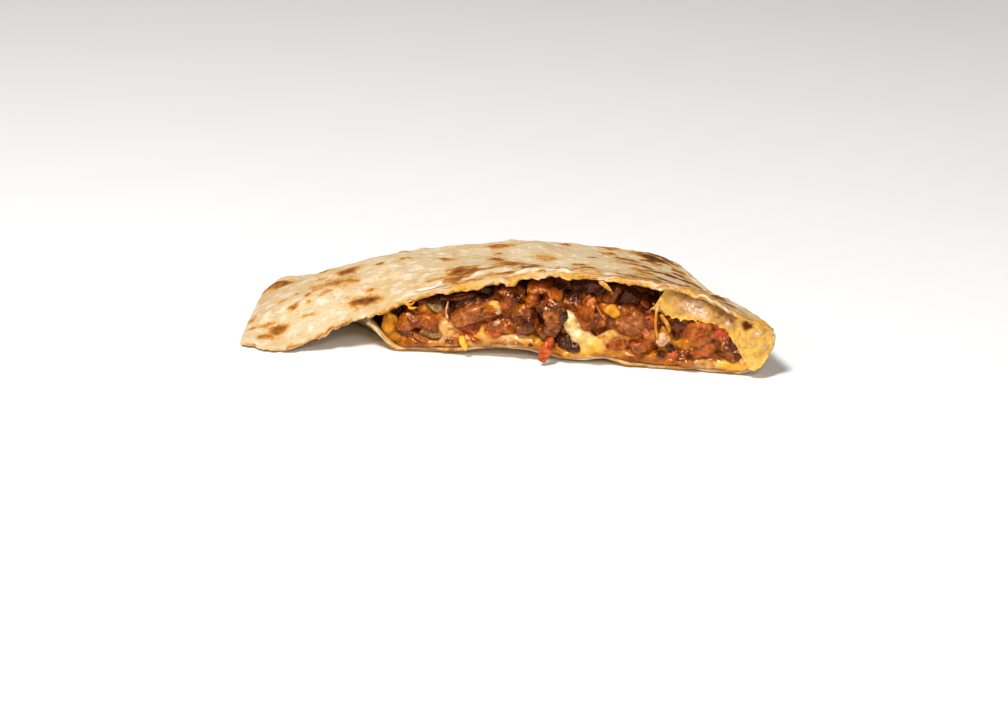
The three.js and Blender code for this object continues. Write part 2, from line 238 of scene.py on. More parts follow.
def folded_grid(v, tops, rounds, bottoms, walls):
    """Points of the sheet's middle over the rows v: top sheet, fold, bottom sheet and left wall."""
    v = v[:, None]
    length, foot = row_length(v), wall_foot(v)
    end, under = before_fold(v, FOLD_ROUND), before_fold(v, FOLD_UNDER)
    nose = lerp(floor_height(end, v), top_height(end, v), FOLD_NOSE)

    def block(a, z):
        x, y = plan(a, v)
        return points_at(x, y, z)

    a = end * np.arange(tops) / tops
    top = block(a, top_height(a, v))
    angle = np.pi * np.arange(2 * rounds + 1) / (2 * rounds)
    above = angle <= np.pi / 2
    a = before_fold(v, np.where(above, FOLD_ROUND, FOLD_UNDER) * (1 - np.sin(angle)))
    level = np.where(above, top_height(np.minimum(a, end), v), floor_height(a, v))
    turn = np.minimum(angle, np.pi - angle)
    fold = block(a, lerp(level, nose, 1 - np.cos(turn)))
    a = lerp(under, foot, np.arange(1, bottoms + 1) / bottoms)
    bottom = block(a, floor_height(a, v))
    t = np.arange(1, walls + 1) / walls
    a = foot - t * WALL_RUN / length
    base = floor_height(a, v)
    roofed = top_height(a, v) - THICK - WALL_GAP
    wall = block(a, np.maximum(base, lerp(base, roofed, t**1.4)))
    return np.concatenate([top, fold, bottom, wall], axis=1)


def shoulder_height(a, v):
    """Height of the top sheet's middle, and of the fold down to its nose."""
    end = before_fold(v, FOLD_ROUND)
    top = top_height(np.minimum(a, end), v)
    nose = lerp(floor_height(end, v), top_height(end, v), FOLD_NOSE)
    return lerp(top, nose, 1 - np.sqrt(1 - clamp((a - end) / (1 - end)) ** 2))


# ---- meshes


def grid_normals(grid):
    along = np.gradient(grid, axis=1)
    away = np.gradient(grid, axis=0)
    n = np.cross(along, away)
    return n / np.maximum(np.linalg.norm(n, axis=-1, keepdims=True), 1e-9)


def quads_between(a, b):
    """Four-sided faces between two rows of point numbers, or two stacks of such rows."""
    return np.stack([a[..., :-1], a[..., 1:], b[..., 1:], b[..., :-1]], axis=-1).reshape(-1, 4)


def put_object(name, data):
    made = bpy.data.objects.new(name, data)
    bpy.context.scene.collection.objects.link(made)
    return made


def make_piece(name, points, faces, material, node, **attributes):
    """A mesh piece in place of a node of the part, from points in plan millimetres. Attributes hold one
    number or colour a point."""
    mesh = bpy.data.meshes.new(name)
    places = (np.asarray(points, float).reshape(-1, 3) - (*CENTRE, 0)) * MM
    mesh.from_pydata(places.tolist(), [], [list(map(int, f)) for f in faces])
    mesh.update()
    for key, values in attributes.items():
        values = np.asarray(values, np.float32)
        kind, field = "FLOAT", "value"
        if values.ndim > 1:
            values = np.insert(values, 3, 1, axis=1)
            kind, field = "FLOAT_COLOR", "color"
        mesh.attributes.new(key, kind, "POINT").data.foreach_set(field, values.ravel())
    mesh.polygons.foreach_set("use_smooth", np.ones(len(mesh.polygons), bool))
    mesh.materials.append(material)
    piece = put_object(name, mesh)
    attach(piece, "root")
    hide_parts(node)


def wrapped_faces(half, rims, columns):
    """Faces of a closed solid from rows of points: half of them below, in reverse, then the rims of its
    front face, then half above."""
    number = np.arange((2 * half + rims) * columns).reshape(-1, columns)
    faces = quads_between(number, np.roll(number, -1, axis=0)).tolist()
    for ends, turn in ((number[:, 0], 1), (number[:, -1], -1)):
        faces += quads_between(ends[:half][::-1], ends[half + rims:])[:, ::turn].tolist()
        faces.append(ends[half - 1:half + rims + 1][::-turn].tolist())
    return faces


def between(lower, upper, rims, push=lambda t: 0.0):
    """Points and faces of the closed solid between two grids, with some rows of points across its front
    face, which push(t) moves, t from 0 at the lower grid to 1 at the upper one."""
    steps = np.arange(1, rims + 1) / (rims + 1)
    face = np.stack([lerp(lower[0], upper[0], t) + push(t) for t in steps])
    points = np.concatenate([lower[::-1], face, upper])
    return points, wrapped_faces(len(upper), rims, points.shape[1])


def shell(grid, out, inn, *rims):
    """The closed sheet round a grid that stands out by out and reaches in by inn."""
    normals = grid_normals(grid)
    return between(grid - normals * inn[..., None], grid + normals * out[..., None], *rims)


# ---- materials


class Shader:
    """A node material with short ways to make and join nodes."""

    def __init__(self, name):
        self.material = bpy.data.materials.new(name)
        self.material.use_nodes = True
        self.tree = self.material.node_tree
        self.surface = self.tree.nodes["Principled BSDF"]
        self.place = self.node("TexCoord", "Object", {})

    def feed(self, node, inputs):
        """Sets inputs, named with _ for a space or numbered, to values, "#C0FFEE" colours or outputs."""
        for key, value in inputs.items():
            socket = node.inputs[key.replace("_", " ") if isinstance(key, str) else key]
            if isinstance(value, bpy.types.NodeSocket):
                self.tree.links.new(value, socket)
            else:
                socket.default_value = (*rgb(value), 1.0) if isinstance(value, str) else value

    def node(self, kind, output, inputs, **settings):
        """One output of a new node."""
        made = self.tree.nodes.new("ShaderNode" + kind)
        for key, value in settings.items():
            setattr(made, key, value)
        self.feed(made, inputs)
        return made.outputs[output]

    def set(self, **inputs):
        self.feed(self.surface, inputs)

    def attribute(self, name, output="Fac"):
        return self.node("Attribute", output, {}, attribute_name=name)

    def noise(self, size, detail, stretch=None):
        """Noise from 0 to 1 with features about size millimetres across."""
        place = self.place
        if stretch:
            place = self.node("Mapping", "Vector", dict(Vector=place, Scale=stretch))
        return self.node("TexNoise", "Fac", dict(
            Vector=place, Scale=1 / (size * MM), Detail=detail, Roughness=OCTAVE_SHARE))

    def math(self, operation, *values, clamped=False):
        return self.node("Math", 0, dict(enumerate(values)), operation=operation, use_clamp=clamped)

    def moved(self, value, noise, amount):
        """The value, up to half the amount higher or lower by the noise."""
        return self.math("ADD", value, self.math("MULTIPLY", self.math("SUBTRACT", noise, 0.5), amount))

    def band(self, value, low, high, to_low=0.0, to_high=1.0):
        """The value's place from low to high, carried to the second pair."""
        return self.node("MapRange", "Result", dict(
            Value=value, From_Min=low, From_Max=high, To_Min=to_low, To_Max=to_high), clamp=True)

    def mix(self, share, a, b):
        """From colour a to colour b. Inputs 6 and 7 and output 2 are the node's colours."""
        return self.node("Mix", 2, {0: share, 6: a, 7: b}, data_type="RGBA")

    def shaded(self, colour, value, saturation):
        return self.node("HueSaturation", "Color", dict(Color=colour, Value=value, Saturation=saturation))

    def ramp(self, value, stops):
        made = self.node("ValToRGB", "Color", dict(Fac=value))
        elements = made.node.color_ramp.elements
        while len(elements) < len(stops):
            elements.new(0.5)
        for element, (place, colour) in zip(elements, stops):
            element.position = place
            element.color = (*rgb(colour), 1.0)
        return made

    def bump(self, height, strength, distance_mm, under=None):
        inputs = dict(Height=height, Strength=strength, Distance=distance_mm * MM)
        if under is not None:
            inputs["Normal"] = under
        return self.node("Bump", "Normal", inputs)


def tortilla_material():
    """The attributes brown, soak and creased say how toasted, how soaked with fat and how creased it is."""
    s = Shader("tortilla")
    fine, small, middle, broad = s.noise(0.7, 5.0), s.noise(1.7, 4.0), s.noise(3.6, 4.0), s.noise(12, 3.0)
    toast = s.moved(s.moved(s.attribute("brown"), fine, 0.45), small, 0.7)
    creases = s.noise(2.4, 4.0, stretch=(0.16, 1, 0.12))
    creases = s.math("ADD", creases, s.math("MULTIPLY", s.attribute("creased"), 0.3))
    cream = s.mix(s.band(broad, 0.4, 0.6), "#DDC49C", "#D2B07E")
    cream = s.mix(s.band(middle, 0.5, 0.62, 0, 0.8), cream, "#EADCC2")
    cream = s.mix(s.band(small, 0.36, 0.5, 0.5, 0), cream, "#C8A473")
    cream = s.mix(s.band(s.attribute("brown"), -0.05, -0.3, 0, 0.9), cream, "#F8ECD6")
    cream = s.mix(s.band(creases, 0.78, 0.87, 0, 0.9), cream, "#A0652A")
    toasted = s.ramp(toast, [(0.16, "#D8AC66"), (0.36, "#C88A3C"), (0.58, "#A0601C"), (0.82, "#74400F"),
                             (1.0, "#4A2408")])
    colour = s.mix(s.band(toast, 0.06, 0.32), cream, toasted)
    soak = s.math("MULTIPLY", s.attribute("soak"), s.band(middle, 0.3, 0.7, 0.6, 1.25), clamped=True)
    colour = s.mix(soak, colour, s.mix(s.band(fine, 0.35, 0.65), "#F0B440", "#C4801C"))
    s.set(Base_Color=colour, Roughness=s.band(soak, 0, 1, 0.72, 0.34), Subsurface_Weight=0.1,
          Subsurface_Scale=1.0 * MM, Specular_IOR_Level=0.3)
    skin = s.bump(small, 0.7, 0.5, s.bump(fine, 0.5, 0.25))
    s.set(Normal=s.bump(middle, 0.5, 0.6, s.bump(creases, 0.6, 0.5, skin)))
    return s.material


def filling_material(name, size, gloss, rough, strength, scatter=0.0, contrast=0.6):
    """Wet food whose colour, painted shade included, each point holds: size is its grain's, in millimetres.
    contrast is how strong the painted shade and painted light of its grain are.
    """
    s = Shader(name)
    tiny, fine, middle = s.noise(size * 0.55, 1.0), s.noise(size, 2.0), s.noise(size * 2.4, 2.0)
    tone_and_shade = s.attribute("tone", "Color")
    # Painted shade in the fine bump's hollows and painted light on the middle bump's rises: darker and
    # lighter copies of the colour.
    colour = s.mix(s.band(fine, 0.38, 0.55, contrast, 0), tone_and_shade, s.shaded(tone_and_shade, 0.45, 1.1))
    colour = s.mix(s.band(middle, 0.52, 0.66, 0, contrast), colour, s.shaded(tone_and_shade, 1.5, 0.95))
    s.set(Base_Color=colour, Roughness=s.band(middle, 0.35, 0.65, *rough), Specular_IOR_Level=0.55,
          Specular_Tint="#FF9A52", Coat_Weight=gloss, Coat_Roughness=0.06,
          Subsurface_Weight=scatter, Subsurface_Scale=1.2 * MM)
    skin = s.bump(fine, strength, 0.4, s.bump(middle, strength * 0.7, 0.9))
    skin = s.bump(tiny, strength * 0.5, 0.2, skin)
    s.set(Normal=skin, Coat_Normal=skin)
    return s.material


def floor_material():
    s = Shader("floor")
    s.set(Base_Color=s.mix(s.noise(60, 3.0), "#F4F3F1", "#F7F6F4"), Roughness=0.9)
    return s.material


# ---- tortilla

# Toasted spots on top: x, y, half width, half depth, strength.
SPOTS = [
    (-87.4, 0.8, 2.0, 1.5, 0.9), (-90.4, -2.7, 2.6, 1.4, 0.72), (-88.3, -0.9, 1.7, 1.3, 0.7),
    (-92.0, 3.6, 2.6, 1.2, 0.42), (-61.7, 6.4, 3.9, 1.9, 0.92), (-63.4, 2.2, 1.1, 0.9, 0.4),
    (-85.5, 9.8, 1.4, 1.0, 0.8), (-78.5, 4.9, 2.6, 0.6, 0.52), (-86.7, 18.4, 0.8, 1.0, 0.62),
    (-82.4, 15.1, 0.9, 1.2, 0.62), (-77.7, 13.0, 0.6, 0.7, 0.42), (-80.5, 10.4, 0.7, 0.7, 0.52),
    (-90.4, 15.6, 1.9, 2.3, 0.32), (-75.5, 21.5, 8.6, 5.4, 0.36), (-74.9, 20.2, 2.9, 2.0, 0.66),
    (-68.9, 18.5, 2.4, 1.6, 0.55), (-81.9, 28.6, 1.8, 1.9, 0.42), (-81.1, 18.8, 1.2, 2.2, 0.42),
    (-76.0, 14.9, 2.0, 1.0, 0.4), (-61.3, 12.1, 1.4, 0.7, 0.55), (-99.6, 42.0, 3.8, 3.6, 0.88),
    (-104.4, 39.3, 0.7, 1.0, 0.6), (-99.2, 11.1, 1.2, 2.6, 0.5), (-97.1, 3.9, 1.2, 0.9, 0.42),
    (-34.5, 17.5, 2.9, 2.4, 0.86), (-31.7, 20.8, 2.4, 1.4, 0.62), (-42.6, 11.9, 2.3, 1.3, 0.62),
    (-39.6, 14.3, 2.6, 0.9, 0.52), (-45.1, 8.5, 2.9, 1.4, 0.45), (-33.7, 7.0, 1.5, 2.2, 0.8),
    (-27.5, 5.3, 3.2, 1.0, 0.82), (-31.0, 2.2, 3.6, 1.5, 0.55), (-26.4, 33.0, 2.0, 3.0, 0.75),
    (-19.8, 20.6, 3.2, 3.4, 0.86), (-18.0, 4.9, 1.6, 2.2, 0.5), (-15.0, 6.6, 1.4, 0.9, 0.8),
    (-9.2, 8.8, 2.0, 3.4, 0.72), (-6.3, 3.6, 1.4, 1.8, 0.7), (5.7, 4.0, 1.7, 1.3, 0.7),
    (10.9, 3.8, 1.7, 1.3, 0.66), (20.5, 19.0, 2.9, 4.0, 0.6), (26.5, 21.5, 3.4, 5.0, 0.72),
    (34.3, 17.0, 3.6, 5.0, 0.9), (40.7, 1.0, 2.0, 1.0, 0.55), (44.3, 3.4, 2.2, 2.2, 0.9),
    (40.0, 9.0, 2.4, 3.0, 0.75), (48.6, 6.9, 2.4, 3.2, 0.85), (55.8, 4.1, 1.6, 2.2, 0.5),
    (52.6, 7.6, 1.6, 2.6, 0.62),
]
# Other spots on top and underneath: how many, their seed, and their ranges of x and y.
MORE_SPOTS = (34, 11, (-88, 40), (26, 88))
UNDER_SPOTS = (40, 12, (-90, 55), (2, 88))
SPOT_SPREAD = 8  # least distance between those and any spot
ROW_DEPTH = 86.0  # from the first row to the last, for all that fades with depth
EDGE_DEPTH = 1.6  # of the ragged edge along the cut
FLOOR_GAP = 0.02  # under the bottom sheet
# Cheese and fat soaked through near the cut, as the spots.
SOAKED = [(-13.0, 0.9, 2.8, 1.0, 0.9), (-9.8, 0.7, 2.0, 0.9, 0.9), (-0.6, 1.2, 2.8, 1.4, 0.95),
          (6.2, 0.5, 3.2, 1.0, 0.9), (-31.0, 1.0, 3.4, 1.2, 0.6), (-40.5, 0.4, 4.0, 0.7, 0.6),
          (30, 0.4, 4.0, 0.7, 0.6), (18, 0.2, 4.0, 0.7, 0.7), (61, 2, 3.0, 4.0, 0.9)]


def random_spots(count, seed, x_range, y_range, taken=()):
    draw = np.random.default_rng(seed)
    spots = list(taken)
    while len(spots) < len(taken) + count:
        x, y = draw.uniform(*x_range), draw.uniform(*y_range)
        size = draw.uniform(1.0, 4.0)
        if all(math.hypot(x - s[0], y - s[1]) > SPOT_SPREAD for s in spots):
            spots.append((x, y, size, size * draw.uniform(0.6, 1.2), draw.uniform(0.35, 0.85)))
    return spots[len(taken):]


def before_fold_mm(x, y):
    """How far a place in the plan is to the left of the fold's line."""
    return lerp(RIGHT[0], APEX[0], (y - RIGHT[1]) / (APEX[1] - RIGHT[1])) - x


def spotted(points, spots):
    """How strongly the spots mark each point: full in a spot's middle, with a soft wide halo."""
    x, y, _ = xyz(points)
    wobble = 1 + 0.45 * fractal(points * (0.7, 1, 1), 2.4, 5, 3)
    total = np.zeros_like(x)
    for sx, sy, wide, deep, strength in spots:
        d = np.hypot((x - sx) / wide, (y - sy) / deep) * wobble
        total = np.maximum(total, strength * (0.5 / (1 + d**4) + 0.42 * np.exp(-((d / 1.9) ** 2))))
    return total * (1 + 0.4 * fractal(points * (0.6, 1, 1), 1.5, 6, 2))


def frayed(grid, line, is_top, depth):
    """Moves the cut edge in and out, and up and down as far as it is off the floor. Returns a share for
    that, 1 at a raised edge and 0 away from the cut."""
    _, y, z = xyz(grid)
    ragged = 0.8 * noise(line, 5.0, 1) + 0.7 * noise(line, 1.9, 2) + 0.5 * noise(line, 0.9, 3)
    y -= (ragged * np.where(is_top, 1, 0.5) - 0.2) * np.exp(-depth / EDGE_DEPTH)
    wave = 0.55 * noise(line, 6.5, 7) + 0.5 * noise(line, 2.6, 8) + 0.35 * noise(line, 1.1, 13)
    lifted = rise(z, 1, 3) * np.exp(-depth / 4.0)
    z += np.where(is_top, wave, 0.25 * wave) * lifted
    return lifted


def browned(grid, above):
    """How toasted the sheet is: spots on both sides, streaks along the cut and the fold, and patches on the
    dome. Returns it, and the streaks and patches alone."""
    x, y, _ = xyz(grid)
    spots = SPOTS + random_spots(*MORE_SPOTS, taken=SPOTS)
    brown = lerp(spotted(grid, random_spots(*UNDER_SPOTS)), spotted(grid, spots), above)
    along_cut = rise(x, -46, 10) * bump(y, 8.5, 4.5) * lerp(0.5, 1.0, rise(x, 10, 14))
    along_fold = rise(y, 12, 8) * bump(before_fold_mm(x, y), 14, 15)
    streaks = smooth(2.2 * fractal(grid * (0.3, 0.8, 1), 2.6, 48, 3) + 0.45)
    streaks = streaks * np.maximum(along_cut, along_fold) * above
    near_cut = rise(y, 2, 3) * (1 - rise(y, 20, 14))
    on_dome = rise(x, -46, 14) * (1 - rise(x, 18, 14)) * near_cut
    patches = smooth(2.8 * fractal(grid * (0.4, 0.7, 0.4), 2.4, 52, 3) + 0.2) * on_dome * above
    return np.maximum(np.maximum(brown, streaks), 0.75 * patches), np.maximum(streaks, patches)


def floured(grid, above, streaked):
    """How much dry flour is left along the cut, on top and off the streaks."""
    x, y, _ = xyz(grid)
    flour = rise(x, -54, 12) * lerp(0.85, 1, smooth(x / 16)) * bump(y, 5.0, 5.0)
    flour = flour * clamp(0.8 + 0.7 * fractal(grid * (0.5, 1, 0.4), 3.4, 50, 2)) * above
    return flour * (1 - 0.8 * streaked)


def outer_relief(grid, brown, creased):
    """How far the outer skin stands out, by its waves, browned spots, blisters and creases."""
    blisters = 0.5 * smooth(fractal(grid, 5.5, 24, 2) * 2.2 - 0.3)
    relief = 0.4 * fractal(grid, 9, 21, 3) + 0.22 * fractal(grid, 2.4, 22, 2) + 0.4 * clamp(brown - 0.3)
    return relief + blisters + 0.7 * fractal(grid * (0.2, 1, 0.15), 2.8, 25, 2) * creased


def soaked(grid, depth, above, flour, fat):
    """How soaked with fat the outer skin is: along the cut, at its right end and in the soaked spots."""
    right_end = rise(grid[..., 0], 56, 7) * np.exp(-depth / 9)
    soak = 0.5 * fat * np.exp(-depth / 11) * smooth(0.4 + fractal(grid, 5, 49, 2))
    soak = (soak + 0.7 * right_end + 0.5 * fat * np.exp(-depth / 1.0)) * (1 - 0.7 * flour)
    soak = clamp(soak + 1.5 * spotted(grid, SOAKED))
    return lerp(0.35 * right_end + 0.7 * fat * np.exp(-depth / 3), soak, above)


def build_tortilla(material):
    tops, rounds, bottoms, walls, rims = 290, 14, 62, 6, 5
    near, near_rows, far_rows = 0.075, 22, 84
    rows = np.concatenate([np.linspace(0, near, near_rows)[:-1], np.linspace(near, 1, far_rows)])
    grid = folded_grid(rows, tops, rounds, bottoms, walls)
    column = np.arange(grid.shape[1])
    is_top = column < tops + rounds
    above = 1 - smooth((column - tops - 0.4 * rounds) / (1.2 * rounds))
    depth = rows[:, None] * ROW_DEPTH
    at_cut = np.exp(-depth / EDGE_DEPTH)
    x, _, z = xyz(grid)
    line = points_at(x + 0.6 * z, 0, 0)
    lifted = frayed(grid, line, is_top, depth)
    brown, streaked = browned(grid, above)
    flour = floured(grid, above, streaked)
    creased = rise(x, -62, 14) * np.exp(-((depth / 20) ** 2)) * above
    relief = outer_relief(grid, brown, creased)
    thin = 1 - at_cut * (np.where(is_top, 0.55, 0.4) + 0.3 * np.abs(noise(line, 2.4, 9)))
    out = HALF * thin + relief * lerp(0.3, 1 - 0.5 * at_cut, above)
    out = np.where(z - out < FLOOR_GAP, np.maximum(z - FLOOR_GAP, 0.3), out)
    hang = np.where(is_top, 0.45 * noise(line, 3.1, 10) + 0.3 * noise(line, 1.1, 11), 0)
    inn = HALF * lerp(1, np.where(is_top, 0.45, 0.65), at_cut)
    inn = inn + 0.15 * fractal(grid, 4, 23, 3) * (1 - at_cut) + hang * at_cut * lifted
    inn = inn - 0.4 * at_cut * np.where(is_top, rise(x, 51, 4), 0)

    def rim_push(t):
        push = np.zeros((len(column), 3))
        push[:, 1] = -0.35 * math.sin(math.pi * t) - 0.3 * noise(line[0] + (0, 7 * t, 0), 1.3, 31)
        return push

    points, faces = shell(grid, out, inn, rims, rim_push)
    toast = clamp(0.25 + 1.1 * noise(line, 5, 41)) * lerp(0.8, 1, rise(x, -62, 10))
    edge_toast = toast * (0.4 * np.exp(-depth / 0.7) + 0.25 * np.exp(-depth / 4))
    outer_brown = np.maximum(brown, lerp(0.5, 1, above) * edge_toast) - 0.5 * flour
    fat = rise(x, -58, 12) * clamp(0.55 + noise(line, 4, 46))
    inner_brown = 0.16 + 0.12 * fractal(grid, 6, 43, 3)
    inner_soak = clamp(0.75 + 0.5 * fractal(grid, 5, 44, 3)) * rise(x, -62, 10)
    level = np.linspace(0, 1, rims)[:, None]
    rim_brown = lerp(0.14, 0.05 + edge_toast[0], level) + 0.22 * np.stack(
        [noise(line[0] + (0, 5 * t, 0), 1.4, 47) for t in level[:, 0]])
    rim_soak = lerp(np.where(is_top, 1.0, 0.9), np.where(is_top, 0.35, 0.2), level) * fat[0]
    make_piece(
        "tortilla_sheet", points, faces, material, "tortilla",
        brown=np.concatenate([inner_brown[::-1], rim_brown, outer_brown]).ravel(),
        soak=np.concatenate([inner_soak[::-1], rim_soak, soaked(grid, depth, above, flour, fat)]).ravel(),
        creased=np.concatenate([0 * creased, 0 * rim_soak, creased]).ravel(),
    )


# ---- inner layer

# Its lower edge: x and z.
CURTAIN_EDGE = [(27, 18.2), (32, 16.6), (42, 15.4), (48, 13.2), (52, 11.6), (55, 6.4), (58, 3), (62.3, 7.2),
                (63.5, 9.2)]
CURTAIN_FRONT = 1.6  # y of its middle at the left
CURTAIN_HALF = 0.7
CURTAIN_GRID = (60, 210)  # rows and columns
CURTAIN_RIMS = 3
PIT = (55.4, 16.2, 1.7)  # x, z and half width of the pit, a hollow with painted shade in it
# White crumbly patches: x, z, half width and half height.
WHITE_PATCHES = [(39.5, 19.8, 4.2, 2.0), (42.5, 17.6, 3.0, 1.4), (50.4, 15.4, 1.8, 1.3),
                 (58.6, 5.6, 1.6, 1.2), (58.8, 14.4, 1.6, 1.2), (61.0, 10.4, 1.0, 1.4)]


def build_curtain(material):
    t, s = unit_grid(*CURTAIN_GRID)
    first, last = CURTAIN_EDGE[0][0], CURTAIN_EDGE[-1][0]
    x = lerp(lerp(first, last, s), last, 0.12 * t)
    a = (x - LEFT_FRONT[0]) / (RIGHT[0] - LEFT_FRONT[0])
    covers = rise(x, 53.5, 3)
    high = shoulder_height(a, 0.01) - 0.3 + 0.8 * covers - 0.7 * rise(x, 61, 3)
    lean = 2.2 * t * (1 - rise(x, 48, 6))
    front = CURTAIN_FRONT - 2.6 * rise(x, 51, 5) + 1.7 * rise(x, 59.5, 4)
    grid = points_at(x, front + lean, lerp(profile(CURTAIN_EDGE, x), high, t))
    line = points_at(x, 0, 0)
    z = grid[..., 2]
    z += (0.6 * noise(line, 3, 51) + 0.55 * noise(line, 1.2, 52)) * np.exp(-t * 7)
    thick = rise(x, 50, 7)
    relief = 0.5 * fractal(grid, 4.2, 53, 4) + 0.9 * thick * fractal(grid, 3.6, 54, 3)
    relief = relief + 0.3 * noise(line, 1.5, 60) * smooth(t / 0.3)
    to_pit = np.hypot(x - PIT[0], z - PIT[1]) * (1 + 0.6 * noise(grid, 1.5, 59)) / PIT[2]
    pit = 1.2 * np.exp(-(to_pit**1.8))
    hem = 0.8 * np.exp(-t * 10) * smooth(0.5 + noise(line, 1.8, 58))
    out = np.maximum(CURTAIN_HALF + relief + hem - pit, 0.25 - CURTAIN_HALF)
    points, faces = shell(grid, out, CURTAIN_HALF + 2.4 * covers, CURTAIN_RIMS)
    mottle = fractal(grid, 3.4, 55, 3)
    left_end = smooth((35 - x) / 5)
    soak = clamp(1.1 * np.exp(-t * 4) + 0.9 * thick + 1.1 * left_end + 0.6 * mottle)
    # Painted shade: brown darkens the pit and the upper part under the top sheet's rim, over random mottle.
    upper = rise(t, 0.5, 0.45) * (1 - thick) * (1 - left_end)
    brown = clamp(0.1 + 0.9 * pit + 0.42 * upper + 0.3 * fractal(grid, 2, 56, 3))
    patches = sum(bump(x, px, wide) * bump(z, pz, tall) for px, pz, wide, tall in WHITE_PATCHES)
    white = smooth(1.2 * patches + 0.8 * fractal(grid, 2.0, 57, 3) - 0.35)

    def marks(inner, rim, outer):
        return np.concatenate([0 * x + inner, 0 * x[:CURTAIN_RIMS] + rim, outer]).ravel()

    make_piece("inner_layer", points, faces, material, "tortilla", brown=marks(0.2, 0.25, brown),
               soak=marks(0.9, 0.9, soak), white=marks(0, 0, white))


def curtain_material():
    """As the tortilla's, with the attribute white for its white crumbly patches. Its attribute brown holds
    painted shade, in the pit and under the top sheet's rim, with some random mottle.
    """
    s = Shader("inner_layer")
    fine, middle = s.noise(0.9, 4.0), s.noise(2.2, 4.0)
    pale = s.mix(s.band(middle, 0.4, 0.6), "#BC8E56", "#84562A")
    yellow = s.mix(s.band(fine, 0.32, 0.68), "#EEC46A", "#D99C2E")
    soak = s.math("MULTIPLY", s.attribute("soak"), s.band(middle, 0.38, 0.58, 0.45, 1.25))
    colour = s.mix(soak, pale, yellow)
    white = s.mix(s.band(fine, 0.42, 0.6), "#C08C64", "#F2E2CC")
    colour = s.mix(s.math("MULTIPLY", s.attribute("white"), 0.8), colour, white)
    # Painted shade: towards deep brown by the attribute brown.
    colour = s.mix(s.band(s.attribute("brown"), 0.25, 0.9), colour, "#4A2007")
    s.set(Base_Color=colour, Roughness=0.42, Specular_IOR_Level=0.35, Specular_Tint="#FFB870",
          Subsurface_Weight=0.2, Subsurface_Scale=1.5 * MM)
    s.set(Normal=s.bump(middle, 0.5, 0.7, s.bump(fine, 0.35, 0.3)))
    return s.material


# ---- filling: lumps melted into one surface


class Lump:
    """A piece of filling. size holds half its width, depth and height, before it is turned in the cut's
    plane; kind names its look."""

    def __init__(self, centre, size, turn, kind, seed):
        draw = np.random.default_rng(seed)
        self.centre = np.array(centre, float)
        self.size = np.array(size, float)
        self.look = LOOKS[kind]
        self.seed = seed
        spin = Matrix.Rotation(math.radians(draw.uniform(-25, 25)), 3, "Z")
        self.axes = np.array(spin @ Matrix.Rotation(math.radians(-turn), 3, "Y"))
        self.planes = draw.normal(size=(self.look["planes"], 3))
        self.planes /= np.linalg.norm(self.planes, axis=1, keepdims=True)
        self.planes /= draw.uniform(0.7, 1.0, (len(self.planes), 1))
        self.reach = 1.35 * max(size) + 1.2

    def local(self, points):
        return (points - self.centre) @ self.axes

    def grains(self, p):
        """From 0 in the creases between the grains of the lump to about 1 on them."""
        return np.abs(fractal(p * self.look["stretch"] + 3.7 * self.seed, 1.6, 83, 2)) * 2.2

    def swell(self, p):
        """How far the surface stands out at p: swellings, and grains or fibres along the lump."""
        small = min(1.0, min(self.size) / 2.0)
        out = self.look["rough"] * fractal(p + 7.3 * self.seed, 2.8, 82, 3)
        return small * (out + self.look["grains"] * (self.grains(p) - 0.5))

    def measure(self, u):
        """1 on the lump's bare surface, less inside. u is a place in units of its size."""
        plain = np.linalg.norm(u, axis=-1)
        if not len(self.planes):
            return plain
        facing = np.maximum(u @ self.planes.T, 0)
        return np.maximum((facing**14).sum(axis=-1) ** (1 / 14), plain / 1.25)

    def distance(self, points):
        """About how far each point is outside the lump."""
        p = self.local(points)
        far = np.linalg.norm(p, axis=-1)
        return far - far / np.maximum(self.measure(p / self.size), 1e-6) - self.swell(p)

    def colour(self, points, gap=None):
        """Three colours, from the creases to the ridges, mottled by noise. Painted shade darkens it most
        where the gap to the next lump closes."""
        p = self.local(points)
        mottle = fractal(p + 5.1 * self.seed, self.look["patches"], 84, 3)
        t = (mottle + 0.5 * (self.grains(p) - 0.45))[..., None]
        crease, middle, ridge = (rgb(c) for c in self.look["tones"])
        tone = np.where(t > 0, lerp(middle, ridge, smooth(1.4 * t)), lerp(middle, crease, smooth(-1.6 * t)))
        # Painted shade: towards a darker crease colour where the gap to the next lump closes.
        return tone if gap is None else lerp(0.4 * crease, tone, smooth(0.2 + gap / 0.9)[..., None])


